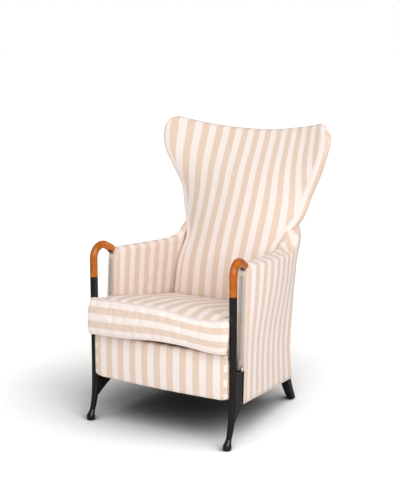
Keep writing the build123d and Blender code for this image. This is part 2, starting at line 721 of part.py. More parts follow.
def apron():
    """Padded cover over the front rail."""
    face = make_face(Curve() + [
        ThreePointArc((-APRON_END, APRON_FACE), (0, APRON_FACE - APRON_BOW), (APRON_END, APRON_FACE)),
        Polyline((APRON_END, APRON_FACE), (APRON_END, APRON_REAR),
                 (-APRON_END, APRON_REAR), (-APRON_END, APRON_FACE)),
    ])
    pad = Pos(0, 0, APRON_BOTTOM) * extrude(face, APRON_TOP - APRON_BOTTOM)
    front = pad.faces().sort_by(Axis.Y)[0]
    pad = fillet(front.edges(), APRON_EDGE_R)
    half = POST_X
    room = box(-half, half, POST_Y - RAIL_T / 2 - FIT, POST_Y + RAIL_T, RAIL_BOTTOM - FIT, RAIL_ROUGH_TOP)
    room -= above_seat(DECK_T)
    pad -= room
    for side in (1, -1):
        pad -= Pos(side * POST_X, POST_Y, POST_TOP / 2) * Cylinder(POST_D / 2 + FIT, POST_TOP)
    return one(pad)


def outside_back_panel(legs):
    """Stiffened cover across the rear below the padded back, with a skirt down to the hem."""
    inner = REAR_BLOCK_Y + RAIL_T / 2 + GLUE
    outer = SEAT_SECTIONS[0][-1]
    hem = ARM_REAR_HEM[0] * YAW_COS + ARM_Y
    top = BACK_BOTTOM - FIT
    profile = make_face(Polyline(
        (inner, top), (outer, top), (hem, BACK_PANEL_HEM), (hem - BACK_PANEL_T, BACK_PANEL_HEM),
        (outer - BACK_PANEL_T, RAIL_BOTTOM), (inner, RAIL_BOTTOM), close=True))
    panel = extrude(Plane.YZ * profile, ARM_X, both=True)
    outside = arm_board(arm_band(0, ARM_PEAK_Z), -ARM_X, ARM_X + SKIN_T + FIT)
    padded = arm_board(arm_band(ARM_BOTTOM, ARM_PEAK_Z), 0, ARM_T + FIT)
    for cut in (outside, padded, legs):
        panel -= cut
        panel -= mirror(cut, about=Plane.YZ)
    return largest(panel)


def dust_cover(legs):
    """Thin black cloth under the seat frame, between the side rails."""
    depth = SKIN_T + FIT + RAIL_T + FIT
    front, rear = APRON_REAR + FIT, REAR_BLOCK_Y
    outline = make_face(Polyline(
        (-arm_inner_x(front, depth), front), (arm_inner_x(front, depth), front),
        (arm_inner_x(rear, depth), rear), (-arm_inner_x(rear, depth), rear), close=True))
    sheet = Pos(0, 0, RAIL_BOTTOM - GLUE - DUST_T) * extrude(outline, DUST_T)
    sheet -= legs
    sheet -= mirror(legs, about=Plane.YZ)
    return largest(sheet)


def bracket_line():
    """Middle line of the bracket in the arm's plane: under the tail, then down the panel's edge."""
    end = ARM_PLANE.to_local_coords(Vector(TAIL_X, TAIL_Y, TAIL_Z))
    start = ARM_PLANE.to_local_coords(Vector(POST_X, POST_Y, HANDLE_CORNER_Z))
    run = Vector(end.X - start.X, end.Y - start.Y).normalized()
    down = Vector(run.Y, -run.X)
    under = Vector(end.X, end.Y) + down * (POST_D / 2 + GLUE + BRACKET_T / 2)
    slope = tan(radians(FRONT_LEAN))
    edge = PANEL_DEPTH - GLUE - BRACKET_T / 2
    reach = (under.Y * slope - HEM_FRONT_Z * slope + edge - under.X) / (run.X - run.Y * slope)
    bend = under + run * reach
    fall = Vector(-sin(radians(FRONT_LEAN)), -cos(radians(FRONT_LEAN)))
    return bend - run * BRACKET_ARM, bend, bend + fall * BRACKET_DROP, run, fall


def handle_bracket(grow=0.0):
    """Bent steel strip that ties the handle's tail to the arm panel."""
    tip, bend, foot, run, fall = bracket_line()
    line = FilletPolyline(
        (tip - run * grow), bend, (foot + fall * grow), radius=2 * BRACKET_T)
    strip = trace(line, BRACKET_T + 2 * grow)
    depth = PANEL_DEPTH + (PANEL_T - BRACKET_W) / 2
    return one(arm_board(strip, depth - grow, BRACKET_W + 2 * grow))


def bracket_screws_left(grow=0.0):
    """One screw up into the handle, two back into the arm panel."""
    tip, bend, foot, run, fall = bracket_line()
    depth = PANEL_DEPTH + PANEL_T / 2
    places = [((tip + bend) * 0.5, Vector(-run.Y, run.X))]
    for drop in BRACKET_SCREW_DROPS:
        places.append((bend + fall * drop, Vector(-fall.Y, fall.X)))
    screws = []
    for point, into in places:
        head = point - into * (BRACKET_T / 2)
        origin = ARM_PLANE.from_local_coords(Vector(head.X, head.Y, -depth))
        ahead = ARM_PLANE.from_local_coords(Vector(head.X + into.X, head.Y + into.Y, -depth))
        place = Plane(origin=origin, z_dir=ahead - origin)
        shank = place * Pos(0, 0, BRACKET_SCREW_L / 2) * Cylinder(
            BRACKET_SCREW_D / 2 + grow, BRACKET_SCREW_L + 2 * grow)
        cap = place * Pos(0, 0, -BRACKET_HEAD_T / 2) * Cylinder(
            BRACKET_HEAD_D / 2 + grow, BRACKET_HEAD_T + 2 * grow)
        screws.append(one(shank + cap))
    return screws


def zip_plane():
    """On the arm's front face: x across, y up the zip, z out of the face."""
    lean = radians(FRONT_LEAN)
    origin = ARM_PLANE.from_local_coords(Vector(arm_front(ZIP_Z), ZIP_Z, -ARM_T / 2))
    rearward = Vector(-YAW_SIN, YAW_COS, 0)
    normal = rearward * -cos(lean) + Vector(0, 0, 1) * sin(lean)
    return Plane(origin=origin, x_dir=(YAW_COS, YAW_SIN, 0), z_dir=normal)


def zip_tape():
    return zip_plane() * box(-TAPE_W / 2, TAPE_W / 2, 0, ZIP_L, FIT, FIT + TAPE_T)


def zip_chain():
    """Row of closed teeth with a stop at each end."""
    low, high = FIT + TAPE_T, FIT + TAPE_T + CHAIN_T
    chain = box(-CHAIN_W / 2, CHAIN_W / 2, STOP_L / 2, ZIP_L - STOP_L / 2, low, high)
    wide = CHAIN_W / 2 + STOP_SIDE
    for y in (STOP_L / 2, ZIP_L - STOP_L * 3 / 2):
        chain += box(-wide, wide, y, y + STOP_L, low, high + STOP_SIDE)
    return zip_plane() * one(chain)


def slider_top():
    return FIT + TAPE_T + CHAIN_T + FIT + SLIDER_WALL


def pull_axis():
    """Middle of the bridge hole, in the zip's plane."""
    return SLIDER_REST + SLIDER_L / 2, slider_top() + BRIDGE_H / 2


def zip_slider():
    """Slider that rides over the chain, with a bridge that holds the pull."""
    low = FIT + TAPE_T + FIT
    top = slider_top()
    body = box(-SLIDER_W / 2, SLIDER_W / 2, SLIDER_REST, SLIDER_REST + SLIDER_L, low, top)
    body = fillet(body.edges().filter_by(Axis.Z), SLIDER_WALL)
    channel = CHAIN_W / 2 + FIT
    body -= box(-channel, channel, SLIDER_REST - 1, SLIDER_REST + SLIDER_L + 1, low - 1, top - SLIDER_WALL)
    y, z = pull_axis()
    body += box(-BRIDGE_W / 2, BRIDGE_W / 2, y - BRIDGE_L / 2, y + BRIDGE_L / 2, top, top + BRIDGE_H)
    body -= Pos(0, y, z) * Rot(0, 90, 0) * Cylinder(PULL_PIN_D / 2 + PIN_GAP, SLIDER_W)
    return zip_plane() * one(body)


def zip_pull():
    """Pull tab with a fork and a pin through the slider's bridge; its end clears the slider as it swings."""
    y, z = pull_axis()
    crown = ((BRIDGE_H / 2 - FIT) ** 2 - (PULL_T / 2) ** 2) ** 0.5
    tab = box(-PULL_W / 2, PULL_W / 2, y - PULL_L, y + crown, z - PULL_T / 2, z + PULL_T / 2)
    fork = BRIDGE_W / 2 + FIT
    reach = (BRIDGE_L ** 2 + BRIDGE_H ** 2) ** 0.5 / 2 + FIT
    tab -= box(-fork, fork, y - reach, y + crown + 1, z - PULL_T, z + PULL_T)
    tab += Pos(0, y, z) * Rot(0, 90, 0) * Cylinder(PULL_PIN_D / 2, PULL_W)
    corners = tab.edges().filter_by(Axis.Z).group_by(Axis.Y)[0]
    return zip_plane() * one(fillet(corners, PULL_T * 1.5))


def export(name, shape):
    export_step(shape, os.path.join("parts", name + ".step"))


def export_pair(name, left):
    export(name + "_left", left)
    export(name + "_right", mirror(left, about=Plane.YZ))


def main():
    os.makedirs("parts", exist_ok=True)

    rear_feet = rear_leg(grow=GLUE)
    rear_room = rear_leg(grow=FIT)
    bracket_holes = bracket_screws_left(grow=PIN_GAP)

    front_foot, rear_foot = foot_places()
    leg = front_leg() - rail_tenon(grow=GLUE) - dowel(grow=PIN_GAP)
    leg -= glide_pin(*front_foot, grow=PIN_GAP)
    export_pair("front_leg", one(leg))
    rear = rear_leg() - glide_pin(*rear_foot, grow=PIN_GAP)
    export_pair("rear_leg", one(rear))
    export("floor_glides", floor_glides())

    handle = cane_handle() - dowel(grow=PIN_GAP) - bracket_holes[0]
    export_pair("arm_handle", one(handle))
    export("handle_dowels", pairs([dowel()]))
    bracket = handle_bracket()
    for hole in bracket_holes:
        bracket -= hole
    export_pair("handle_bracket", one(bracket))
    export("bracket_screws", pairs(bracket_screws_left()))

    export("front_rail", front_rail())
    export("rear_rail", rear_rail(rear_feet))
    export_pair("side_rail", side_rail())
    export_pair("knee_bracket", knee_bracket())
    block = corner_block()
    for hole in corner_screws_left(grow=PIN_GAP):
        block -= hole
    export("corner_blocks", pairs([one(block)]))
    export("corner_screws", pairs(corner_screws_left()))

    panel = arm_panel()
    for hole in bracket_holes[1:]:
        panel -= hole
    export_pair("arm_panel", one(panel))
    bracket_room = handle_bracket(grow=FIT)
    for screw in bracket_screws_left(grow=FIT):
        bracket_room += screw
    export_pair("arm_cover", arm_cover(back_blank(grow=FIT), cane_handle(grow=FIT), bracket_room))

    export_pair("back_stile", back_stile())
    for name, z in RAIL_HEIGHTS.items():
        export(name, back_rail(z))
    export_pair("wing_frame", wing_frame())
    export("back_webbing", Compound(children=back_straps()))
    frame = back_straps(grow=FIT)
    for z in RAIL_HEIGHTS.values():
        frame.append(back_rail(z, grow=FIT))
    for piece in (back_stile(grow=FIT), wing_frame(grow=FIT)):
        frame += [piece, mirror(piece, about=Plane.YZ)]
    export("back_upholstery", back_upholstery(frame))
    export("outside_back_panel", outside_back_panel(rear_room))

    export("seat_webbing", seat_straps())
    export("seat_deck", seat_deck())
    export("dust_cover", dust_cover(rear_room))
    export("apron", apron())
    export("cushion_core", cushion_core())
    export("cushion_cover", cushion_cover())

    export_pair("zip_tape", zip_tape())
    export_pair("zip_chain", zip_chain())
    export_pair("zip_slider", zip_slider())
    export_pair("zip_pull", zip_pull())


main()
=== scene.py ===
import json
import math

import bmesh
import bpy
import numpy as np
from bpy.props import FloatProperty, FloatVectorProperty, PointerProperty
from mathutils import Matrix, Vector, noise


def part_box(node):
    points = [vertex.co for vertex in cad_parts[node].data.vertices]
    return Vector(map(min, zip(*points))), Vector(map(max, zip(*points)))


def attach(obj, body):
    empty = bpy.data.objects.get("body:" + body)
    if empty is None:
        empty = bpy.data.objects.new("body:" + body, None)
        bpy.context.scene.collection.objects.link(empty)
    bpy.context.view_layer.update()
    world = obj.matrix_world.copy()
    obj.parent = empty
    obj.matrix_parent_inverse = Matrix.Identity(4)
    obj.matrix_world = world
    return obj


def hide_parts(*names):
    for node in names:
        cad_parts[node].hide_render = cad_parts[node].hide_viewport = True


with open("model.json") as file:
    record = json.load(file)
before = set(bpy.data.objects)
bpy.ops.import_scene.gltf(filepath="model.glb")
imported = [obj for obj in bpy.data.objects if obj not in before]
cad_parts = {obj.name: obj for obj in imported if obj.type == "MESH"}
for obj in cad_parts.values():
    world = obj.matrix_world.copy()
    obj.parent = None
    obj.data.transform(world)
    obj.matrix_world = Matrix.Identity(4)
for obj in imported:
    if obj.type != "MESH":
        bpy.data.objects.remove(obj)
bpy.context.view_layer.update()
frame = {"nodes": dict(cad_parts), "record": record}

bl_info = {
    "name": "Wingback chair",
    "version": (1, 0, 0),
    "blender": (4, 5, 0),
    "location": "3D View > Sidebar > Chair",
    "description": "Dresses a wingback chair frame with striped upholstery, lacquer and cane",
    "category": "Object",
}

MM = 0.001
CHAIR, CUSHION = "chair", "seat_cushion"

# Arm plane: it turns in towards the rear. All lengths in millimetres.
ARM_YAW = math.radians(6.5)
ARM_OUT = np.array((math.cos(ARM_YAW), math.sin(ARM_YAW), 0.0))
ARM_ALONG = np.array((-math.sin(ARM_YAW), math.cos(ARM_YAW), 0.0))
ARM_CORNER = (300, -240)
ARM_T = 42
ARM_BOTTOM = 257
SKIN_T = 6
FRONT_SLOPE = 28 / 485
HEM_FRONT = 143
HEM_FALL = 43 / 466
ARM_FRONT_TOP, ARM_FRONT_R = (28, 628), 34
ARM_DIP, ARM_PEAK = (437, 603), 712
SWEEP_START, SWEEP_SOFT, SWEEP_SLOPE = 424, 44, 1.55
ARM_REAR = [(100, 466), (225, 443), (290, 446), (742, 541)]
ARM_ROLL = 17
ARM_CLOTH = 452          # width of the striped cloth along an arm
# how far the padded outer side stands out halfway along, and the height where that starts
ARM_BULGE, BULGE_LOW, BULGE_SOFT = 22, 310, 250
# gusset where the arm's top meets the wing
GUSSET_EDGE, GUSSET_FIN = 12, 14
GUSSET_RISE, GUSSET_OUT = 90, 8
GUSSET_LOW, GUSSET_LOW_SOFT, GUSSET_HIGH, GUSSET_HIGH_SOFT = 540, 80, 690, 50
GUSSET_START, GUSSET_RUN, GUSSET_OUT_START, GUSSET_OUT_RUN = 0.8, 0.2, 0.7, 0.3   # shares of the arm
# rounding of the front edges of the padding and the skin, and the height over which one becomes the other
ARM_EDGE, SKIN_EDGE, EDGE_SOFT = 11, 2.4, 30
# creases on the inner side of an arm, from and to (along, up)
ARM_CREASES = (((195, 470), (268, 545)), ((175, 440), (215, 505)), ((245, 500), (290, 560)))
CREASE_WIDE, CREASE_HIGH = 7.0, 2.6

# Back: height, front and rear half width, front middle and edge, rear edge and middle, corner radii
BACK = np.array([
    (272, 219, 207, 84, 92, 200, 203, 24, 8),
    (420, 218, 203, 87, 98, 236, 240, 24, 8),
    (540, 215, 200.5, 104, 126, 258, 264, 24, 12),
    (620, 207, 207, 132, 172, 276, 284, 20, 20),
    (720, 262, 262, 178, 245, 295, 306, 20, 20),
    (800, 287, 287, 217, 264, 310, 323, 20, 20),
    (880, 324, 324, 251, 256, 303, 340, 20, 20),
    (950, 353, 353, 290, 245, 291, 357, 20, 20),
    (1010, 361, 361, 322, 254, 300, 374, 20, 20),
    (1080, 352, 352, 356, 266, 312, 394, 20, 20),
], dtype=float)
WIDEST = 8               # row of that table where the wings are widest
CREST_LOW, CREST_RADIUS = 1031, 1243
TIP_X, TIP_Z, TIP_WIDE, TIP_TALL = 305, 1000, 63, 69
CREST_ROUND = 21
BACK_ROWS = 96
# rows where the wing seams start, in front and behind, and how many they stop short of the crest
WING_SEAM, WING_REAR_SEAM, WING_SEAM_SHORT = 36, 30, 4
# Lay of the cloth: where the stripes start on the panels and edge strips, and their drift across the back
PANEL_SHIFT, STRIP_SHIFT, REAR_STRIP_SHIFT, CLOTH_PULL = 36.5, 31, 67, 0.0003

# Seat plane: falls to the rear
SEAT_PITCH = math.radians(7)
SEAT_ORIGIN = np.array((0.0, -304.0, 334.0))
CUSHION_T, CUSHION_RISE, CUSHION_SINK = 124, 13, 8
CUSHION_FRONT, CUSHION_BOW, CUSHION_NOTCH, CUSHION_REAR = -66, 16, -36, 371
CUSHION_EARS = (296, 288)     # front corners, left and right
CUSHION_CHEEK, CUSHION_WAIST, CUSHION_TAIL, CUSHION_SIDE = 261, 254.7, 219.7, 64
CUSHION_COLUMNS, UNDER_ROWS, BOXING_ROWS, TOP_ROWS = 300, 16, 15, 26
# shares of the outline: innermost ring, flat underside, sewn edge, and how far the boxing bulges
HUB, UNDER_FLAT, SEWN, BOXING_BULGE = 0.06, 0.85, 0.965, 0.031
# the underside's lift off the deck, its rise to the sewn edge, and the lift where the boxing starts
UNDER_LIFT, UNDER_RISE, SEWN_LIFT = 0.4, 1.04, 1.4
# depth where the front seams' sag ends and the top starts to sink, and the length over which it sinks
FRONT_SOFT, SINK_SOFT = 40, 220
BOXING_STRIPES = 2.5     # stripe pairs up the boxing
PIPING_R = 2.6
# cloth of the cover while it is blown up, the frames that takes, and how far it may move in metres
COVER_CLOTH = {
    "quality": 6, "mass": 0.25, "tension_stiffness": 22, "compression_stiffness": 22,
    "bending_stiffness": 0.6, "use_pressure": True, "uniform_pressure_force": 4, "shrink_min": -0.012,
    "vertex_group_mass": "sewn",
}
BLOW_FRAMES, BLOW_LIMIT = 20, 0.007
# how the used cushion's front seams rise and sag along X
SAG_X = np.array((-290.0, -246, -172, -110, -46, 14, 76, 135, 194, 223, 251, 290))
SAG_TOP = np.array((-2.0, -1, 3, 4, 5, 3, -2, -9, -14, -14, -12, -6))
SAG_BOTTOM = np.array((-3.0, -3, 0, 3, 9, 14, 15, 13, 8, 5, 4, 6))

# Apron
APRON_END, APRON_LOW, APRON_HIGH = 276, 168, 331
APRON_FACE, APRON_BOW, APRON_BACK, APRON_ROUND = -323, 12, -296, 9
# where the cloth turns round the end, how far its lip stands out there, and the depth where the lip starts
APRON_RETURN, APRON_LIP, APRON_LIP_Y = 266, 3, -308
# its lower corners rise over this length by this much, and its middle swells by the last
APRON_CORNER, APRON_CORNER_RISE, APRON_BELLY = 34, 7.0, 3.5
APRON_RINGS = 96
APRON_SHIFT, APRON_STRETCH, RETURN_SHIFT = 52, 0.986, 14.5

# Dust cover: half its width at most between the rear legs, the depth behind which that holds, and its sag
DUST_TAIL, DUST_TAIL_Y, DUST_SAG = 205.0, 150, 2.2

# Zip: place of its foot on the left arm
ZIP_FOOT = np.array((278.32, -235.21, 268.0))
ZIP_L, TAPE_W, TAPE_LIFT, TAPE_T, CHAIN_T = 318, 16, 0.4, 1.0, 2.2
TOOTH_PITCH, TOOTH_MARGIN = 2.6, 7
TOOTH = [(-2.7, -0.62), (0.2, -0.62), (0.9, -0.3), (0.9, 0.3), (0.2, 0.62), (-2.7, 0.62)]
STOP_HALF, STOP_L, STOP_MARGIN = 3.3, 4, 2
# tabs of tape: width, then name, place on the arm (along, in, up) and length
TAB_W = 10
TABS = (("hem_tab", (9.0, 3.0, HEM_FRONT + 3.0), 8), ("zip_tail", (2.0, 9.0, ZIP_FOOT[2] + 1.0), 24))

# What the settings for colours and lengths share
COLOUR = {"subtype": "COLOR", "size": 3, "min": 0, "max": 1}
LENGTH = {"unit": "LENGTH", "subtype": "DISTANCE"}


class ClothSettings(bpy.types.PropertyGroup):
    """Striped cover of the chair."""
    stripe: FloatProperty(
        name="Stripe pair", description="Width of one white and one beige stripe",
        default=0.0522, min=0.005, **LENGTH)
    white: FloatVectorProperty(
        name="White stripe", description="Colour of the pale stripe",
        default=(0.94, 0.83, 0.78), **COLOUR)
    beige: FloatVectorProperty(
        name="Beige stripe", description="Colour of the darker stripe",
        default=(0.780, 0.605, 0.485), **COLOUR)
    # beige of the arm fronts, darkened in its colour with painted shade for the shade they sit in
    shaded_front_beige: FloatVectorProperty(
        name="Arm front", description="Colour of the plain cloth on the arm fronts",
        default=(0.50, 0.42, 0.36), **COLOUR)
    crumple: FloatProperty(
        name="Crumple", description="Depth of the soft folds in the cover",
        default=0.0016, min=0, **LENGTH)


class WoodSettings(bpy.types.PropertyGroup):
    """Lacquered and varnished wood."""
    lacquer: FloatVectorProperty(
        name="Lacquer", description="Colour of posts and legs",
        default=(0.010, 0.009, 0.009), **COLOUR)
    cane: FloatVectorProperty(
        name="Cane", description="Honey colour of the handles",
        default=(0.60, 0.145, 0.006), **COLOUR)
    cane_dark: FloatVectorProperty(
        name="Cane streaks", description="Darker grain of the handles",
        default=(0.20, 0.034, 0.003), **COLOUR)
    beech: FloatVectorProperty(
        name="Frame wood", description="Colour of the hidden frame",
        default=(0.62, 0.45, 0.28), **COLOUR)


class StageSettings(bpy.types.PropertyGroup):
    """Camera, floor and light."""
    lens: FloatProperty(name="Lens", description="Focal length in mm", default=82.0, min=10)
    azimuth: FloatProperty(
        name="Azimuth", description="Camera's turn to the sitter's left", default=math.radians(31.8),
        subtype="ANGLE")
    elevation: FloatProperty(
        name="Elevation", description="Camera's height as an angle", default=math.radians(11.6),
        subtype="ANGLE")
    distance: FloatProperty(
        name="Distance", description="Camera to target", default=4.19, **LENGTH)
    sky: FloatProperty(name="Sky", description="Strength of the even light", default=0.69, min=0)
    room: FloatProperty(name="Room", description="Strength of the room in reflections", default=0.07, min=0)
    key: FloatProperty(name="Key", description="Power of the lamp on the right in watts", default=44.0, min=0)
    fill: FloatProperty(name="Fill", description="Power of the lamp in front in watts", default=40.0, min=0)
    glow: FloatProperty(
        name="Floor lift", description="Lifts the open floor to white for the camera", default=0.52)
    floor: FloatVectorProperty(
        name="Floor", description="Colour of the floor",
        default=(0.93, 0.93, 0.93), **COLOUR)


class Value:
    """A shader socket that adds Math nodes when it is used in an expression."""

    def __init__(self, wiring, socket):
        self.wiring = wiring
        self.socket = socket

    def __add__(self, other):
        return self.wiring.math("ADD", self, other)

    def __radd__(self, other):
        return self.wiring.math("ADD", other, self)

    def __sub__(self, other):
        return self.wiring.math("SUBTRACT", self, other)

    def __rsub__(self, other):
        return self.wiring.math("SUBTRACT", other, self)

    def __mul__(self, other):
        return self.wiring.math("MULTIPLY", self, other)

    def __rmul__(self, other):
        return self.wiring.math("MULTIPLY", other, self)


class Wiring:
    """A node tree while its nodes are added."""

    def __init__(self, tree):
        self.tree = tree

    def node(self, kind, settings=None, sockets=None, output=0):
        """Adds a node: settings first, then socket values or links. A tuple of outputs gives a list."""
        made = self.tree.nodes.new(kind)
        for key, value in (settings or {}).items():
            setattr(made, key, value)
        for key, value in (sockets or {}).items():
            self.feed(made.inputs[key], value)
        if isinstance(output, tuple):
            return [Value(self, made.outputs[i]) for i in output]
        return Value(self, made.outputs[output])

    def feed(self, socket, value):
        if isinstance(value, Value):
            self.tree.links.new(value.socket, socket)
        else:
            socket.default_value = value

    def math(self, operation, *values):
        return self.node("ShaderNodeMath", {"operation": operation}, dict(enumerate(values)))

    def clamp(self, value):
        return self.node("ShaderNodeClamp", None, {"Value": value})

    def mix(self, factor, first, second):
        first, second = ((*c, 1) if isinstance(c, tuple) else c for c in (first, second))
        settings = {"data_type": "RGBA", "clamp_factor": True}
        return self.node("ShaderNodeMix", settings, {0: factor, 6: first, 7: second}, output=2)

    def place(self):
        return self.node("ShaderNodeTexCoord", output=3)

    def noise(self, vector, scale, detail=3.0):
        return self.node("ShaderNodeTexNoise", None, {"Vector": vector, "Scale": scale, "Detail": detail})

    def stretch(self, vector, scale):
        return self.node("ShaderNodeVectorMath", {"operation": "MULTIPLY"}, {0: vector, 1: scale})

    def bump(self, height, distance, strength=1.0):
        sockets = {"Height": height, "Distance": distance, "Strength": strength}
        return self.node("ShaderNodeBump", None, sockets)

    def ripple(self, run, pitch):
        """Wave from 0 to 1 along a length."""
        return self.math("SINE", run * (2 * math.pi / pitch)) * 0.5 + 0.5


class Finish(Wiring):
    """A material wired to one shader."""

    def __init__(self, name):
        self.material = bpy.data.materials.new(name)
        self.material.use_nodes = True
        super().__init__(self.material.node_tree)
        self.shader = self.tree.nodes["Principled BSDF"]

    def finish(self, **sockets):
        for key, value in sockets.items():
            if isinstance(value, tuple) and len(value) == 3:
                value = (*value, 1)
            self.feed(self.shader.inputs[key.replace("_", " ")], value)
        return self.material


def tint(colour, share):
    """A colour made lighter or darker."""
    return tuple(share * c for c in colour)


MADE = {}


def finish_once(maker):
    """Each finish is made once and shared by the pieces that wear it."""
    def shared():
        name = maker.__name__
        if name not in MADE:
            MADE[name] = maker(Finish(name))
        return MADE[name]
    return shared


def weave(f, across, along, yarn):
    """Height of a plain weave from cloth coordinates in metres."""
    turn = 2 * math.pi / yarn
    return f.math("SINE", across * turn) * f.math("SINE", along * turn)


def cloth_coordinates(f):
    """The cloth's own coordinates, and its places across and along the stripes in metres."""
    uv = f.node("ShaderNodeUVMap", {"uv_map": "cloth"})
    across, along = f.node("ShaderNodeSeparateXYZ", None, {0: uv}, output=(0, 1))
    return uv, across, along


@finish_once
def striped_cloth(f):
    """White and beige stripes woven in, with slubs in the yarn."""
    cloth = bpy.context.scene.chair_cloth
    uv, across, along = cloth_coordinates(f)
    wave = f.math("SINE", across * (2 * math.pi / cloth.stripe))
    stripe = f.clamp(wave * 9 + 0.5)
    slub = f.noise(f.stretch(uv, (900, 45, 1)), 1.0, 4.0)
    cross_slub = f.noise(f.stretch(uv, (60, 1100, 1)), 1.0, 3.0)
    faded = f.noise(uv, 7.0, 2.0)
    white = f.mix(slub * 0.55, tuple(cloth.white), tint(cloth.white, 0.90))
    beige = f.mix(cross_slub * 0.8, tint(cloth.beige, 1.10), tint(cloth.beige, 0.84))
    colour = f.mix(stripe, white, beige)
    worn = f.mix(faded * 0.16, colour, tint(cloth.white, 0.82))
    height = weave(f, across, along, 0.0011) * 0.6 + slub * 0.5 + stripe * 0.25
    return f.finish(
        Base_Color=worn, Roughness=0.80 + slub * 0.14, Normal=f.bump(height, 0.0004, 0.55),
        Sheen_Weight=0.12, Sheen_Roughness=0.5, Specular_IOR_Level=0.25)


@finish_once
def arm_front_cloth(f):
    """Plain beige cloth beside the zips, puckered by the stitching; its colour is darkened with painted
    shade.
    """
    cloth = bpy.context.scene.chair_cloth
    uv, across, along = cloth_coordinates(f)
    slub = f.noise(f.stretch(uv, (500, 60, 1)), 1.0)
    pucker = f.noise(f.stretch(uv, (30, 140, 1)), 1.0)
    # painted shade: the arm fronts' beige is darkened in the colour itself
    colour = f.mix(slub, tint(cloth.shaded_front_beige, 1.12), tint(cloth.shaded_front_beige, 0.82))
    height = weave(f, across, along, 0.0012) * 0.4 + pucker * 2.0
    return f.finish(
        Base_Color=colour, Roughness=0.86 + slub * 0.1, Normal=f.bump(height, 0.0006, 0.6),
        Sheen_Weight=0.1, Specular_IOR_Level=0.25)


@finish_once
def zip_tape_cloth(f):
    """Pale grey ribbed tape."""
    uv, across, _ = cloth_coordinates(f)
    rib = f.ripple(across, 0.0014)
    worn = f.noise(uv, 90.0)
    colour = f.mix(rib * 0.5 + worn * 0.4, (0.70, 0.66, 0.62), (0.48, 0.44, 0.41))
    return f.finish(Base_Color=colour, Roughness=0.78 + worn * 0.12, Normal=f.bump(rib, 0.0004, 0.6))


@finish_once
def stitched_seam(f):
    """Sewn seam: pale cloth with the dips of its stitches."""
    cloth = bpy.context.scene.chair_cloth
    uv, _, along = cloth_coordinates(f)
    stitch = f.ripple(along, 0.0042)
    mottled = f.noise(uv, 160.0)
    colour = f.mix(stitch * 0.35 + mottled * 0.3, tint(cloth.white, 0.93), tint(cloth.white, 0.62))
    return f.finish(
        Base_Color=colour, Roughness=0.84 + mottled * 0.1, Normal=f.bump(stitch, 0.0005, 0.7),
        Specular_IOR_Level=0.25)


@finish_once
def dust_cloth(f):
    """Thin black non-woven cloth under the seat."""
    fibre = f.noise(f.place(), 700.0, 4.0)
    colour = f.mix(fibre, (0.012, 0.012, 0.013), (0.05, 0.05, 0.05))
    return f.finish(Base_Color=colour, Roughness=0.86 + fibre * 0.12, Normal=f.bump(fibre, 0.0005, 0.5))


@finish_once
def jute_webbing(f):
    """Herringbone webbing of the seat and back."""
    place = f.place()
    band = f.node(
        "ShaderNodeTexWave", {"bands_direction": "DIAGONAL"},
        {"Vector": place, "Scale": 160.0, "Distortion": 1.5}, output=1)
    fibre = f.noise(place, 420.0)
    colour = f.mix(band * 0.6 + fibre * 0.4, (0.55, 0.43, 0.28), (0.30, 0.22, 0.13))
    return f.finish(Base_Color=colour, Roughness=0.84 + fibre * 0.12, Normal=f.bump(band, 0.0006, 0.7))


@finish_once
def seat_foam(f):
    """Open-cell foam."""
    cell = f.node("ShaderNodeTexVoronoi", None, {"Vector": f.place(), "Scale": 420.0})
    colour = f.mix(cell, (0.82, 0.74, 0.52), (0.62, 0.52, 0.32))
    return f.finish(Base_Color=colour, Roughness=0.9 + cell * 0.08, Normal=f.bump(cell, 0.0008, 0.8))


@finish_once
def black_lacquer(f):
    """Gloss black lacquer over wood, a little worn."""
    wood = bpy.context.scene.chair_wood
    place = f.place()
    grain = f.noise(f.stretch(place, (190, 190, 9)), 1.0)
    handled = f.noise(place, 14.0)
    colour = f.mix(grain * 0.6, tuple(wood.lacquer), tint(wood.lacquer, 2.1))
    return f.finish(
        Base_Color=colour, Roughness=0.16 + handled * 0.16, Normal=f.bump(grain, 0.0002, 0.12),
        Coat_Weight=0.40 + handled * 0.2, Coat_Roughness=0.05, Specular_IOR_Level=0.3)


@finish_once
def cane_varnish(f):
    """Honey cane with red-brown streaks under a thick gloss varnish."""
    wood = bpy.context.scene.chair_wood
    place = f.place()
    streak = f.noise(f.stretch(place, (230, 60, 22)), 1.0, 5.0)
    cloud = f.noise(place, 26.0, 3.0)
    patch = f.clamp((streak * 0.75 + cloud * 0.65 - 0.48) * 2.2)
    colour = f.mix(patch, tuple(wood.cane), tuple(wood.cane_dark))
    bright = f.mix(cloud * 0.3, colour, (0.78, 0.24, 0.015))
    return f.finish(
        Base_Color=bright, Roughness=0.22 + streak * 0.12, Normal=f.bump(streak, 0.0003, 0.2),
        Coat_Weight=0.5 + cloud * 0.2, Coat_Roughness=0.05, Specular_IOR_Level=0.3)


@finish_once
def frame_beech(f):
    """Raw beech with fine grain and flecks."""
    wood = bpy.context.scene.chair_wood
    place = f.place()
    grain = f.noise(f.stretch(place, (26, 140, 140)), 1.0, 4.0)
    fleck = f.noise(f.stretch(place, (160, 900, 900)), 1.0, 2.0)
    colour = f.mix(grain * 0.7 + fleck * 0.3, tint(wood.beech, 1.1), tint(wood.beech, 0.68))
    return f.finish(Base_Color=colour, Roughness=0.55 + grain * 0.2, Normal=f.bump(grain, 0.0003, 0.3))


@finish_once
def dark_steel(f):
    """Dark grey bent steel with rubbed edges."""
    rubbed = f.noise(f.place(), 120.0, 4.0)
    colour = f.mix(f.clamp(rubbed * 2.4 - 0.9), (0.10, 0.10, 0.105), (0.33, 0.33, 0.34))
    return f.finish(
        Base_Color=colour, Metallic=0.9, Roughness=0.30 + rubbed * 0.22, Normal=f.bump(rubbed, 0.0002, 0.2))


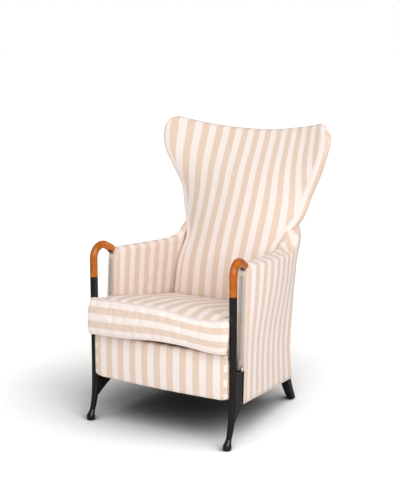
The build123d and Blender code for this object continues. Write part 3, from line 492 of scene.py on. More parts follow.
@finish_once
def zip_nickel(f):
    """Nickel of the zips, dulled in places."""
    dulled = f.noise(f.place(), 260.0, 3.0)
    colour = f.mix(dulled, (0.86, 0.85, 0.83), (0.60, 0.59, 0.57))
    return f.finish(
        Base_Color=colour, Metallic=0.5, Roughness=0.30 + dulled * 0.25, Normal=f.bump(dulled, 0.0001, 0.2))


@finish_once
def glide_nylon(f):
    """Black nylon, scuffed by the floor."""
    scuff = f.noise(f.place(), 300.0)
    colour = f.mix(scuff, (0.03, 0.03, 0.03), (0.10, 0.10, 0.10))
    return f.finish(Base_Color=colour, Roughness=0.5 + scuff * 0.3, Normal=f.bump(scuff, 0.0003, 0.3))


def smooth_through(xs, ys, x):
    """Smooth curve through points, evaluated at an array of places."""
    slope = np.gradient(ys, xs)
    i = np.clip(np.searchsorted(xs, x) - 1, 0, len(xs) - 2)
    h = xs[i + 1] - xs[i]
    t = (x - xs[i]) / h
    near = (1 + 2 * t) * (1 - t) ** 2 * ys[i] + t * (1 - t) ** 2 * h * slope[i]
    far = t * t * (3 - 2 * t) * ys[i + 1] + t * t * (t - 1) * h * slope[i + 1]
    return near + far


def run_length(points, axis):
    """Length along an axis of a grid of points, from its first row or column."""
    steps = np.linalg.norm(np.diff(points, axis=axis), axis=-1)
    first = np.zeros_like(np.take(steps, [0], axis=axis))
    return np.concatenate([first, np.cumsum(steps, axis=axis)], axis=axis)


def grid_normals(points, wrap):
    """Unit normals of a grid of points."""
    down = np.gradient(points, axis=0)
    if wrap:
        across = np.roll(points, -1, axis=1) - np.roll(points, 1, axis=1)
    else:
        across = np.gradient(points, axis=1)
    normal = np.cross(across, down)
    size = np.linalg.norm(normal, axis=-1, keepdims=True)
    return normal / np.maximum(size, 1e-9)


def folds(points, scale, seed, upright=1.0):
    """Soft noise from -1 to 1 at each point, of a size in millimetres. Upright below 1 draws it tall."""
    flat = (points * np.array((1, 1, upright))).reshape(-1, 3) / scale + seed
    made = [noise.noise(Vector(p)) for p in flat]
    return np.array(made).reshape(points.shape[:-1])


def add_piece(name, mesh, finishes, body, replaced=()):
    """Puts a mesh in the scene as a piece that rides on a body."""
    piece = bpy.data.objects.new(name, mesh)
    bpy.context.collection.objects.link(piece)
    for material in finishes:
        mesh.materials.append(material)
    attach(piece, body)
    if replaced:
        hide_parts(*replaced)
    return piece


def edit_mesh(mesh, change):
    """Runs one change on a mesh as a bmesh."""
    work = bmesh.new()
    work.from_mesh(mesh)
    change(work)
    work.to_mesh(mesh)
    work.free()


def mesh_from(name, points, faces, uvs, indices=None):
    """Mesh in metres from points in millimetres, with cloth coordinates per corner in metres."""
    mesh = bpy.data.meshes.new(name)
    mesh.from_pydata([tuple(p) for p in np.asarray(points).reshape(-1, 3) * MM], [], faces)
    layer = mesh.uv_layers.new(name="cloth")
    flat = np.concatenate([np.asarray(face_uv, dtype=float).reshape(-1) for face_uv in uvs]) * MM
    layer.data.foreach_set("uv", flat)
    if indices is not None:
        mesh.polygons.foreach_set("material_index", indices)
    edit_mesh(mesh, lambda work: bmesh.ops.recalc_face_normals(work, faces=work.faces))
    mesh.polygons.foreach_set("use_smooth", [True] * len(mesh.polygons))
    mesh.update()
    return mesh


def grid_faces(rows, columns, blocks, wrap):
    """Faces of a grid in blocks of columns, each with its own cloth coordinates."""
    faces, uvs = [], []
    for start, end, across, along in blocks:
        for r in range(rows - 1):
            for c in range(start, end):
                k = c - start
                after = (c + 1) % columns if wrap else c + 1
                near, far = r * columns, (r + 1) * columns
                faces.append((near + c, near + after, far + after, far + c))
                corners = ((r, k), (r, k + 1), (r + 1, k + 1), (r + 1, k))
                uvs.append([(across[i, j], along[i, j]) for i, j in corners])
    return faces, uvs


def close_ends(faces, uvs, points, pairs, spin=False):
    """Closes the first and last ring of a form between the columns that face each other."""
    rows, columns = points.shape[:2]
    flat = points.reshape(-1, 3)
    for start in (0, (rows - 1) * columns):
        for (a, b), (c, d) in zip(pairs, pairs[1:]):
            face = [start + i for i in dict.fromkeys((a, b, d, c))]
            if len(face) > 2:
                faces.append(tuple(face))
                uvs.append([(p[2], p[1]) if spin else (p[0] + p[1], p[2]) for p in flat[face]])


def cloth_sheet(name, points, across, along, material, thickness, replaced=()):
    """Thin cloth from a grid of points, with its cloth coordinates."""
    rows, columns = points.shape[:2]
    faces, uvs = grid_faces(rows, columns, [(0, columns - 1, across, along)], False)
    piece = add_piece(name, mesh_from(name, points, faces, uvs), [material], CHAIR, replaced)
    piece.modifiers.new("thick", "SOLIDIFY").thickness = thickness
    return piece


def sewn_seam(name, line, radius, body=CHAIR, closed=False):
    """Sewn seam, hem or piping along a line of points in millimetres."""
    sides = 8
    line = np.asarray(line, dtype=float)
    ahead = np.roll(line, -1, axis=0) - np.roll(line, 1, axis=0)
    if not closed:
        ahead = np.gradient(line, axis=0)
    ahead /= np.linalg.norm(ahead, axis=1, keepdims=True)
    side = np.cross(ahead, (0.31, 0.23, 0.92))     # helper direction that spans the ring
    side /= np.linalg.norm(side, axis=1, keepdims=True)
    lift = np.cross(side, ahead)
    turn = np.linspace(0, 2 * np.pi, sides, endpoint=False)
    ring = side[:, None] * np.cos(turn)[None, :, None] + lift[:, None] * np.sin(turn)[None, :, None]
    points = line[:, None] + radius * ring
    if closed:
        points = np.concatenate([points, points[:1]])
    rows = len(points)
    along = np.repeat(run_length(points, 0)[:, :1], sides + 1, axis=1)
    across = np.repeat(np.linspace(0, 2 * np.pi * radius, sides + 1)[None], rows, axis=0)
    faces, uvs = grid_faces(rows, sides, [(0, sides, across, along)], True)
    if not closed:
        for start in (0, (rows - 1) * sides):
            faces.append(tuple(range(start, start + sides)))
            uvs.append([(0, 0)] * sides)
    mesh = mesh_from(name, points, faces, uvs)
    if closed:
        edit_mesh(mesh, lambda work: bmesh.ops.remove_doubles(work, verts=work.verts, dist=1e-6))
    return add_piece(name, mesh, [stitched_seam()], body)


def mirrored(points):
    """Points of the right side from those of the left."""
    return points * np.array((-1.0, 1.0, 1.0))


def crest_height(x):
    """Height of the crest across the back: a shallow dip between two rounded tips."""
    x = np.abs(x)
    middle = CREST_LOW + CREST_RADIUS - np.sqrt(np.maximum(CREST_RADIUS ** 2 - x ** 2, 1))
    out = np.clip((x - TIP_X) / TIP_WIDE, 0, 1)
    tip = TIP_Z + TIP_TALL * np.sqrt(1 - out ** 2)
    return np.where(x < TIP_X, middle, tip)


# columns of the back's ring: half an edge, a corner, a panel
BACK_SIDE, BACK_CORNER, BACK_ARC = 3, 5, 64


def back_ring(z):
    """Horizontal ring of the back at each column's own height; z has a row per ring."""
    half_f, half_r, mid_f, edge_f, edge_r, mid_r, round_f, round_r = (
        smooth_through(BACK[:, 0], BACK[:, i], z) for i in range(1, 9))
    start, end = edge_f + round_f, edge_r - round_r
    half = z.shape[1] // 2
    x, y = np.zeros_like(z), np.zeros_like(z)

    def put(column, px, py):
        x[:, column], y[:, column] = px[:, column], py[:, column]

    for side in (-1, 1):
        for k in range(BACK_SIDE + 1):
            t = 0.5 * k / BACK_SIDE
            front = k if side < 0 else half - k
            rear = (-k) % (2 * half) if side < 0 else half + k
            for column, share in ((front, 0.5 - t), (rear, 0.5 + t)):
                put(column, side * (half_f + (half_r - half_f) * share), start + (end - start) * share)
        for k in range(BACK_CORNER + 1):
            turn = math.pi / 2 * k / BACK_CORNER
            front = BACK_SIDE + k if side < 0 else half - BACK_SIDE - k
            rear = (-BACK_SIDE - k) % (2 * half) if side < 0 else half + BACK_SIDE + k
            put(front, side * (half_f - round_f + round_f * math.cos(turn)), start - round_f * math.sin(turn))
            put(rear, side * (half_r - round_r + round_r * math.cos(turn)), end + round_r * math.sin(turn))
    first = BACK_SIDE + BACK_CORNER
    for k in range(BACK_ARC + 1):
        t = -1 + 2 * k / BACK_ARC
        put(first + k, t * (half_f - round_f), mid_f + (edge_f - mid_f) * t * t)
        put((-first - k) % (2 * half), t * (half_r - round_r), mid_r + (edge_r - mid_r) * t * t)
    return np.stack([x, y, z], axis=-1)


def back_points():
    """Rings of the padded back from seat to crest, with the crest rolled over."""
    half = 2 * (BACK_SIDE + BACK_CORNER) + BACK_ARC
    columns = 2 * half
    widest_z, widest_x = BACK[WIDEST, :2]
    share = np.abs(back_ring(np.full((1, columns), widest_z))[0, :, 0]) / widest_x
    top = np.full(columns, 1000.0)
    for _ in range(40):
        top = crest_height(share * smooth_through(BACK[:, 0], BACK[:, 1], top))
    rows = np.linspace(0, 1, BACK_ROWS)[:, None] ** 0.9
    low = BACK[0, 0]
    rings = back_ring(low + rows * (top - CREST_ROUND - low)[None])
    last = rings[-1]
    partner = (-np.arange(columns)) % columns
    middle = (last + last[partner]) / 2
    edge = np.abs(last[:, 0]) > np.abs(last[BACK_SIDE + BACK_CORNER, 0]) + 1
    middle[edge, 0] = np.sign(last[edge, 0]) * np.abs(last[BACK_SIDE + BACK_CORNER, 0])
    reach = last - middle
    size = np.linalg.norm(reach, axis=1, keepdims=True)
    inset = np.minimum(CREST_ROUND, 0.98 * size)
    extra = []
    for turn in np.linspace(0, math.pi / 2, 8)[1:]:
        ring = middle + reach * (1 - inset * (1 - math.cos(turn)) / np.maximum(size, 1e-6))
        ring[:, 2] = top - CREST_ROUND + CREST_ROUND * math.sin(turn)
        extra.append(ring)
    return np.concatenate([rings, np.array(extra)])


class CHAIR_OT_back(bpy.types.Operator):
    """Padded back and butterfly wings with edge strips"""
    bl_idname = "chair.back"
    bl_label = "Back"

    def execute(self, context):
        points = back_points()
        rows, columns = points.shape[:2]
        half = columns // 2
        first = BACK_SIDE + BACK_CORNER
        depth = context.scene.chair_cloth.crumple / MM
        normal = grid_normals(points, True)
        soft = 0.6 * folds(points, 95.0, 3.1) + 0.4 * folds(points, 38.0, 9.7, 0.35)
        from_middle = points - points.mean(axis=1, keepdims=True)
        outward = np.sign(np.sum(normal * from_middle, axis=-1, keepdims=True))
        points = points + normal * outward * (depth * soft)[..., None]
        along = run_length(points, 0)

        def panel(start, end, shift):
            x = points[:, start:end + 1, 0]
            return start, end, x + CLOTH_PULL * x * x + shift, along[:, start:end + 1]

        def strip(start, end, centre, sign, shift):
            part = np.arange(start, end + 1) % columns
            across = run_length(points[:, part], 1)
            return start, end, sign * (across - across[:, centre:centre + 1]) + shift, along[:, part]

        seam = first + 1
        blocks = [
            strip(0, seam, seam, -1, STRIP_SHIFT),
            panel(seam, half - seam, PANEL_SHIFT),
            strip(half - seam, half, 0, 1, STRIP_SHIFT),
            strip(half, half + first, 0, 1, REAR_STRIP_SHIFT),
            panel(half + first, columns - first, PANEL_SHIFT),
            strip(columns - first, columns, first, -1, REAR_STRIP_SHIFT),
        ]
        faces, uvs = grid_faces(rows, columns, blocks, True)
        close_ends(faces, uvs, points, [(i, (-i) % columns) for i in range(half + 1)])
        mesh = mesh_from("padded_back", points, faces, uvs)
        piece = add_piece(
            "padded_back", mesh, [striped_cloth()], CHAIR, ["back_upholstery"])
        top = rows - WING_SEAM_SHORT
        for side, column in (("left", half - seam), ("right", seam)):
            sewn_seam("wing_seam_" + side, points[WING_SEAM:top, column], 0.9)
        for side, column in (("left", half + first), ("right", columns - first)):
            sewn_seam("wing_rear_seam_" + side, points[WING_REAR_SEAM:top, column], 0.9)
        return {"FINISHED"}


def arm_front(z):
    """Place along the arm of its leaning front at a height."""
    return (z - HEM_FRONT) * FRONT_SLOPE


def arm_rear(z):
    """Place along the arm of its rear edge at a height."""
    heights, places = np.array(ARM_REAR, dtype=float).T
    return np.interp(z, heights, places)


def arm_top(s, sweep):
    """Height of the arm's top along its length: rounded front, straight fall, sweep up to the wing."""
    front_s, front_z = ARM_FRONT_TOP
    fall = (ARM_DIP[1] - front_z) / (ARM_DIP[0] - front_s)
    over = s - SWEEP_START
    line = front_z + fall * (s - front_s)
    lift = sweep * SWEEP_SLOPE * 0.5 * (over + np.sqrt(over ** 2 + SWEEP_SOFT ** 2))
    near = np.clip(front_s + ARM_FRONT_R - s, 0, ARM_FRONT_R)
    drop = ARM_FRONT_R - np.sqrt(np.maximum(ARM_FRONT_R ** 2 - near ** 2, 0))
    return np.minimum(line + lift, ARM_PEAK) - drop


def arm_world(s, depth, z):
    """Points of the left arm, by place along it, depth and height, in the chair's frame."""
    x = ARM_CORNER[0] - s * math.sin(ARM_YAW) - depth * math.cos(ARM_YAW)
    y = ARM_CORNER[1] + s * math.cos(ARM_YAW) - depth * math.sin(ARM_YAW)
    return np.stack([x, y, z], axis=-1)


# columns round an arm's ring: hanging skin, side, rolled top, underside; and rings along it
ARM_LOW, ARM_UP, ARM_OVER, ARM_UNDER = 10, 26, 22, 3
ARM_RINGS = 74


def ease(value):
    """Smooth step from 0 to 1."""
    t = np.clip(value, 0, 1)
    return t * t * (3 - 2 * t)


def arm_crest(ahead, share, sweep):
    """Height where a column of the arm's grid meets the top."""
    top = 620.0
    for _ in range(60):
        place = arm_front(top) + ahead + share * (arm_rear(top) - arm_front(top) - ahead)
        top = 0.5 * top + 0.5 * float(arm_top(np.array(max(place, ARM_FRONT_TOP[0] + 0.5)), sweep))
    return top


def arm_points():
    """Rings round the arm from front to rear: outer side, rolled top, inner side, underside, skin."""
    turns = np.linspace(0, math.pi / 2, 7)[:-1]
    fronts = [(ARM_EDGE * (1 - math.cos(t)), ARM_EDGE * (1 - math.sin(t))) for t in turns]
    places = [(ahead, inset, 0.0) for ahead, inset in fronts]
    places += [(ARM_EDGE, 0.0, share) for share in np.linspace(0, 1, ARM_RINGS)]
    rings, spans = [], []
    for ahead, inset, share in places:
        outer, inner = arm_crest(ahead, share, 0.0) - inset, arm_crest(ahead, share, 1.0) - inset
        outer += GUSSET_RISE * ease((share - GUSSET_START) / GUSSET_RUN)
        hem_place = ahead + share * (ARM_REAR[0][1] - ahead)
        hem = HEM_FRONT - HEM_FALL * hem_place
        low = np.linspace(hem, ARM_BOTTOM, ARM_LOW + 1)
        up = np.linspace(ARM_BOTTOM, outer - ARM_ROLL, ARM_UP + 1)[1:]
        down = np.linspace(inner - ARM_ROLL, ARM_BOTTOM, ARM_UP + 1)
        turn = np.linspace(0, math.pi, ARM_OVER + 1)[1:-1]
        bend = np.sign(np.cos(turn)) * np.abs(np.cos(turn)) ** 0.8
        roll_d = ARM_T / 2 * (1 - bend)
        slant = ease((roll_d - GUSSET_EDGE) / (ARM_T - GUSSET_FIN - GUSSET_EDGE))
        roll_z = outer + (inner - outer) * slant - ARM_ROLL * (1 - np.sin(turn) ** 0.8)
        under = np.linspace(ARM_T, SKIN_T, ARM_UNDER + 1)[1:-1]
        z = np.concatenate([low, up, roll_z, down, np.full(len(under), ARM_BOTTOM), low[::-1]])
        outer_d, inner_d = np.zeros(len(low) + len(up)), np.full(len(down), ARM_T)
        depth = np.concatenate([outer_d, roll_d, inner_d, under, np.full(len(low), SKIN_T)])
        thin = np.clip((z - ARM_BOTTOM) / EDGE_SOFT, 0, 1) * inset
        padded = depth + thin * (1 - 2 * depth / ARM_T)
        skin = np.minimum(inset, SKIN_EDGE) * (1 - 2 * depth / SKIN_T)
        depth = np.where(z > ARM_BOTTOM + 0.5, padded, np.where(depth <= SKIN_T, depth + skin, depth))
        s = arm_front(z) + ahead + share * (arm_rear(z) - arm_front(z) - ahead)
        bulge = ARM_BULGE * ease((z - BULGE_LOW) / BULGE_SOFT) * 4 * share * (1 - share)
        gusset = ease((z - GUSSET_LOW) / GUSSET_LOW_SOFT) * ease((GUSSET_HIGH - z) / GUSSET_HIGH_SOFT)
        bulge += GUSSET_OUT * gusset * ease((share - GUSSET_OUT_START) / GUSSET_OUT_RUN)
        rings.append(arm_world(s, depth - bulge * (1 - np.clip(depth / ARM_T, 0, 1)), z))
        spans.append(np.full(len(z), ahead + share * (ARM_CLOTH - ahead)))
    return np.array(rings), np.array(spans)


def arm_crease(points, start, end):
    """Ridge of a diagonal crease between two points."""
    line = end - start
    share = np.clip(((points - start) @ line) / (line @ line), 0, 1)
    away = np.linalg.norm(points - (start + share[..., None] * line), axis=-1)
    return CREASE_HIGH * np.exp(-(away / CREASE_WIDE) ** 2) * np.sin(np.pi * np.clip(share, 0.02, 0.98))


class CHAIR_OT_arms(bpy.types.Operator):
    """Padded arms with side panels that hang to the hem"""
    bl_idname = "chair.arms"
    bl_label = "Arms"

    def execute(self, context):
        depth = context.scene.chair_cloth.crumple / MM
        base, span = arm_points()
        rows, columns = base.shape[:2]
        sides = (ARM_LOW + ARM_UP + 1, ARM_LOW + 1 + 2 * ARM_UP + ARM_OVER)
        for side in ("left", "right"):
            seed = 4.3 if side == "left" else 17.9
            points = base.copy()
            soft = 0.7 * folds(points, 70.0, seed, 0.5) + 0.5 * folds(points, 30.0, seed + 5)
            puff = np.zeros((rows, columns))
            puff[:, :sides[0]] = 1.0
            puff[:, sides[0] + ARM_OVER - 1:sides[1]] = -1.0
            lift = depth * soft * puff * ease(np.arange(rows) / 12.0)[:, None]
            creases = np.zeros_like(lift)
            for crease in ARM_CREASES:
                creases += arm_crease(points, *(arm_world(s, ARM_T, z) for s, z in crease))
            lift = lift - creases * (puff < 0)
            points = points + ARM_OUT * lift[..., None]
            if side == "right":
                points = mirrored(points)
            along = run_length(points, 1)
            along = np.concatenate([along, along[:, -1:] + 4], axis=1)
            across = np.concatenate([span, span[:, :1]], axis=1) + 1.5
            faces, uvs = grid_faces(rows, columns, [(0, columns, across, along)], True)
            body = len(faces)
            pairs = [(i, columns - 1 - i) for i in range(ARM_LOW + 1)]
            for i in range(ARM_LOW + 1, ARM_LOW + ARM_UP + (ARM_OVER - 1) // 2 + 1):
                pairs.append((i, 2 * (ARM_LOW + ARM_UP) + ARM_OVER - i))
            close_ends(faces, uvs, points, pairs)
            end = (len(faces) - body) // 2
            # the front ends wear the arm-front cloth, whose colour holds painted shade
            kinds = [0] * body + [1] * end + [0] * end
            mesh = mesh_from("padded_arm_" + side, points, faces, uvs, kinds)
            piece = add_piece(
                "padded_arm_" + side, mesh, [striped_cloth(), arm_front_cloth()], CHAIR,
                ["arm_cover_" + side])
            outer = ARM_LOW + ARM_UP
            edges = (("outer", ARM_LOW + 2, outer), ("inner", outer + ARM_OVER, sides[1] - 2))
            for name, start, end in edges:
                sewn_seam(f"arm_front_seam_{name}_{side}", points[2, start:end], 1.4)
            sewn_seam("arm_hem_" + side, points[3:-2, 0] * 0.5 + points[3:-2, -1] * 0.5, 3.3)
        return {"FINISHED"}


def rounded_line(corners, count):
    """Closed line through (x, y, radius) corners, evenly spaced."""
    corners = [np.array(c, dtype=float) for c in corners]
    made = []
    for i, corner in enumerate(corners):
        before, after = corners[i - 1][:2], corners[(i + 1) % len(corners)][:2]
        here = corner[:2]
        back, ahead = before - here, after - here
        back_l, ahead_l = np.linalg.norm(back), np.linalg.norm(ahead)
        angle = math.acos(np.clip(back @ ahead / back_l / ahead_l, -1, 1))
        cut = min(corner[2] / math.tan(angle / 2), 0.45 * back_l, 0.45 * ahead_l)
        start, end = here + back / back_l * cut, here + ahead / ahead_l * cut
        for t in np.linspace(0, 1, 12):
            made.append((1 - t) ** 2 * start + 2 * t * (1 - t) * here + t * t * end)
    made = np.array(made + made[:1])
    length = np.concatenate([[0], np.cumsum(np.linalg.norm(np.diff(made, axis=0), axis=1))])
    places = np.linspace(0, length[-1], count, endpoint=False)
    return np.stack([np.interp(places, length, made[:, i]) for i in (0, 1)], axis=1)


def seat_world(x, y, z):
    """Point of the seat plane in the chair's frame."""
    c, s = math.cos(SEAT_PITCH), math.sin(SEAT_PITCH)
    return np.stack([x, SEAT_ORIGIN[1] + y * c + z * s, SEAT_ORIGIN[2] - y * s + z * c], axis=-1)


def cushion_line():
    """Outline of the cushion from the middle of its front, with an ear before each post."""
    sides = []
    for ear in CUSHION_EARS:
        sides.append([
            (ear, CUSHION_FRONT, 20), (ear, CUSHION_NOTCH, 8), (CUSHION_CHEEK, CUSHION_NOTCH, 6),
            (CUSHION_CHEEK, CUSHION_SIDE - 22, 12), (CUSHION_WAIST, CUSHION_SIDE, 12),
            (CUSHION_TAIL, CUSHION_REAR, 32)])
    left = sides[0]
    right = [(-x, y, r) for x, y, r in reversed(sides[1])]
    return rounded_line([(0, CUSHION_FRONT - CUSHION_BOW, 5000)] + left + right, CUSHION_COLUMNS)


def cushion_rings():
    """Share of the outline, lift and kind of each ring, from the underside over the boxing to the top."""
    rings = []
    for share in np.linspace(HUB, SEWN, UNDER_ROWS):
        rise = UNDER_RISE * max(0.0, share - UNDER_FLAT) / (SEWN - UNDER_FLAT)
        rings.append((share, UNDER_LIFT + rise, "under"))
    for t in np.linspace(0, 1, BOXING_ROWS)[1:-1]:
        bulge = math.sin(math.pi * t) ** 0.6
        rings.append((SEWN + BOXING_BULGE * bulge, SEWN_LIFT + (CUSHION_T - SEWN_LIFT) * t, "side"))
    for share in np.linspace(SEWN, HUB, TOP_ROWS):
        rings.append((share, CUSHION_T + CUSHION_RISE * (1 - (share / SEWN) ** 2.3), "top"))
    return [np.array(column) for column in zip(*rings)]


def cushion_height(plan, lift):
    """Height of the rings over the seat, with front seams that sag and a top that sinks to the rear."""
    height = np.repeat(lift[:, None], CUSHION_COLUMNS, axis=1)
    ahead = np.clip((FRONT_SOFT - plan[..., 1]) / (FRONT_SOFT - CUSHION_FRONT), 0, 1) ** 1.5
    upper = np.clip(height / CUSHION_T, 0, 1)
    sag_top, sag_bottom = (smooth_through(SAG_X, sag, plan[..., 0]) for sag in (SAG_TOP, SAG_BOTTOM))
    below = np.clip(-plan[..., 1] / FRONT_SOFT, 0, 1)
    height = height + ahead * upper * sag_top + ahead * below * (1 - upper) * sag_bottom
    return height - CUSHION_SINK * upper * ease((plan[..., 1] - FRONT_SOFT) / SINK_SOFT)


def inflate(piece, pinned):
    """Blows the cover up with air pressure and keeps its seams where they are sewn."""
    group = piece.vertex_groups.new(name="sewn")
    for index, weight in enumerate(pinned):
        if weight > 0:
            group.add([index], float(weight), "REPLACE")
    before = np.empty(3 * len(piece.data.vertices))
    piece.data.vertices.foreach_get("co", before)
    cloth = piece.modifiers.new("pressure", "CLOTH")
    for key, value in COVER_CLOTH.items():
        setattr(cloth.settings, key, value)
    cloth.settings.effector_weights.gravity = 0
    cloth.collision_settings.use_collision = False
    scene = bpy.context.scene
    for span in (scene, cloth.point_cache):
        span.frame_start, span.frame_end = 1, BLOW_FRAMES
    for step in range(1, BLOW_FRAMES + 1):
        scene.frame_set(step)
    solved = piece.evaluated_get(bpy.context.evaluated_depsgraph_get())
    after = np.empty_like(before)
    solved.data.vertices.foreach_get("co", after)
    piece.modifiers.remove(cloth)
    piece.vertex_groups.remove(group)
    scene.frame_set(1)
    move = (after - before).reshape(-1, 3)
    size = np.linalg.norm(move, axis=1, keepdims=True)
    move *= np.minimum(1, BLOW_LIMIT / np.maximum(size, 1e-9))
    piece.data.vertices.foreach_set("co", before + move.reshape(-1))
    piece.data.update()


class CHAIR_OT_cushion(bpy.types.Operator):
    """Loose boxed cushion with piped edges"""
    bl_idname = "chair.cushion"
    bl_label = "Seat cushion"

    def execute(self, context):
        count, line = CUSHION_COLUMNS, cushion_line()
        stripe = context.scene.chair_cloth.stripe / MM
        middle = np.array((0.0, (CUSHION_FRONT + CUSHION_REAR) / 2))
        draw, lift, kind = cushion_rings()
        plan = middle + (line - middle)[None] * draw[:, None, None]
        points = seat_world(plan[..., 0], plan[..., 1], cushion_height(plan, lift))
        rows = len(points)
        side_rows = np.flatnonzero(kind == "side")
        seam_low, seam_high = int(side_rows[0]) - 1, int(side_rows[-1]) + 1
        normal = grid_normals(points, True)
        ripple = folds(points, 26.0, 2.2, 0.45)
        from_seam = np.minimum(abs(lift - 8), abs(lift - CUSHION_T + 6))
        near_seam = np.exp(-(from_seam / 16.0) ** 2)
        amount = np.where(kind == "side", 0.6 + 1.9 * near_seam, 0.0)
        points = points + normal * (amount[:, None] * ripple)[..., None]
        boxing_up = run_length(points[seam_low:seam_high + 1], 0)
        boxing_up = boxing_up / boxing_up[-1:] * BOXING_STRIPES * stripe
        wrap = np.arange(count + 1) % count
        round_run = run_length(points, 1)
        round_run = np.concatenate([round_run, round_run[:, -1:] + 6], axis=1)
        faces, uvs = [], []
        for low, high in ((0, seam_low), (seam_low, seam_high), (seam_high, rows - 1)):
            part = np.arange(low, high + 1)
            if low == seam_low:
                across = boxing_up[:, wrap] + stripe / 2
                along = round_run[part]
            else:
                across = plan[part][:, wrap, 0] + 0.25 * stripe
                along = plan[part][:, wrap, 1]
            more, more_uv = grid_faces(len(part), count, [(0, count, across, along)], True)
            faces += [tuple(low * count + i for i in face) for face in more]
            uvs += more_uv
        for start, row in ((0, 0), ((rows - 1) * count, rows - 1)):
            for i in range(count // 2 - 1):
                face = (i, i + 1, count - 2 - i, count - 1 - i)
                faces.append(tuple(start + k for k in face))
                uvs.append([(plan[row, k, 0] + 0.25 * stripe, plan[row, k, 1]) for k in face])
        mesh = mesh_from("boxed_cushion", points, faces, uvs)
        piece = add_piece(
            "boxed_cushion", mesh, [striped_cloth()], CUSHION, ["cushion_cover"])
        pinned = np.zeros((rows, count))
        pinned[:seam_low + 1] = 1.0
        pinned[seam_high] = 1.0
        inflate(piece, pinned.reshape(-1))
        piece.modifiers.new("fine", "SUBSURF").levels = 1
        piece.modifiers["fine"].render_levels = 1
        for name, row, rise in (("top", seam_high, 0.5), ("bottom", seam_low, 0.6)):
            edge = points[row] + np.array((0, 0, rise))
            sewn_seam("cushion_piping_" + name, edge, PIPING_R, CUSHION, closed=True)
        return {"FINISHED"}


class CHAIR_OT_apron(bpy.types.Operator):
    """Padded apron over the front rail, with side returns"""
    bl_idname = "chair.apron"
    bl_label = "Apron"

    def execute(self, context):
        ends = []
        for t in np.linspace(0, math.pi / 2, 7)[:-1]:
            ends.append((-APRON_END + APRON_ROUND * (1 - math.cos(t)), APRON_ROUND * (1 - math.sin(t))))
        inner = np.linspace(-APRON_END + APRON_ROUND, APRON_END - APRON_ROUND, APRON_RINGS)
        columns = ends + [(x, 0.0) for x in inner] + [(-x, inset) for x, inset in reversed(ends)]
        rings = []
        for x, inset in columns:
            near = np.clip((abs(x) - APRON_END + APRON_CORNER) / APRON_CORNER, 0, 1)
            low = APRON_LOW + APRON_CORNER_RISE * near ** 3 + inset * 0.4
            high = APRON_HIGH - inset * 0.3
            face = APRON_FACE - APRON_BOW * (1 - (x / APRON_END) ** 2) + 0.6 * inset
            turn = np.linspace(0, math.pi / 2, 6)
            ring = [(APRON_BACK, low)]
            for t in turn:
                ring.append((face + APRON_ROUND * (1 - math.sin(t)), low + APRON_ROUND * (1 - math.cos(t))))
            for t in np.linspace(0, 1, 24)[1:-1]:
                belly = APRON_BELLY * math.sin(math.pi * t) * (1 - near)
                ring.append((face - belly, low + APRON_ROUND + (high - low - 2 * APRON_ROUND) * t))
            for t in turn:
                ring.append((face + APRON_ROUND * (1 - math.cos(t)), high - APRON_ROUND * (1 - math.sin(t))))
            ring.append((APRON_BACK, high))
            rings.append([(x, y, z) for y, z in ring])
        points = np.array(rings)
        rows, count = points.shape[:2]
        out = np.abs(points[..., 0]) - APRON_END + APRON_ROUND
        lip = APRON_LIP * ease(out / APRON_ROUND) * ease((APRON_LIP_Y - points[..., 1]) / 8)
        points[..., 0] += np.sign(points[..., 0]) * lip
        soft = folds(points, 24.0, 6.1, 0.25)
        foot = np.exp(-((points[..., 2] - APRON_LOW) / 30) ** 2) + 0.35
        depth = context.scene.chair_cloth.crumple / MM
        held = ease((APRON_END - np.abs(points[..., 0])) / 30) * (points[..., 1] < APRON_BACK - 8)
        points[..., 1] += depth * 0.8 * soft * foot * held
        along = run_length(points, 1)
        along = np.concatenate([along, along[:, -1:] + 20], axis=1)
        across = np.repeat(points[..., :1, 0], count + 1, axis=1)
        across = APRON_STRETCH * (across + APRON_END) + APRON_SHIFT
        faces, uvs = grid_faces(rows, count, [(0, count, across, along)], True)
        flat = points.reshape(-1, 3)
        for i, face in enumerate(faces):
            middle = flat[list(face), 0].mean()
            if middle > APRON_RETURN or middle < -APRON_END + APRON_ROUND:
                uvs[i] = [(p[2] + RETURN_SHIFT, p[0]) for p in flat[list(face)]]
        close_ends(faces, uvs, points, [(i, count - 1 - i) for i in range(count // 2)], spin=True)
        mesh = mesh_from("padded_apron", points, faces, uvs)
        piece = add_piece("padded_apron", mesh, [striped_cloth()], CHAIR, ["apron"])
        return {"FINISHED"}


SOFT_COPY_SHIFT = 0.0129     # where the stripes start, in metres


def soft_copy(name, node, voxel, rounds):
    """Rounded copy of a soft solid, with its stripes along X."""
    mesh = frame["nodes"][node].data.copy()
    mesh.name = name
    mesh.materials.clear()
    shell = bpy.data.objects.new(name, mesh)
    bpy.context.collection.objects.link(shell)
    shell.modifiers.new("even", "REMESH").voxel_size = voxel
    relax = shell.modifiers.new("relax", "SMOOTH")
    relax.factor, relax.iterations = 0.5, rounds
    solved = shell.evaluated_get(bpy.context.evaluated_depsgraph_get())
    made = bpy.data.meshes.new_from_object(solved)
    bpy.data.objects.remove(shell)
    layer = made.uv_layers.new(name="cloth")
    corners = np.empty(len(made.loops), dtype=np.int32)
    made.loops.foreach_get("vertex_index", corners)
    places = np.empty(3 * len(made.vertices))
    made.vertices.foreach_get("co", places)
    places = places.reshape(-1, 3)[corners]
    flat = np.stack([places[:, 0] + SOFT_COPY_SHIFT, places[:, 2] + places[:, 1]], axis=1)
    layer.data.foreach_set("uv", flat.reshape(-1))
    made.polygons.foreach_set("use_smooth", [True] * len(made.polygons))
    return made


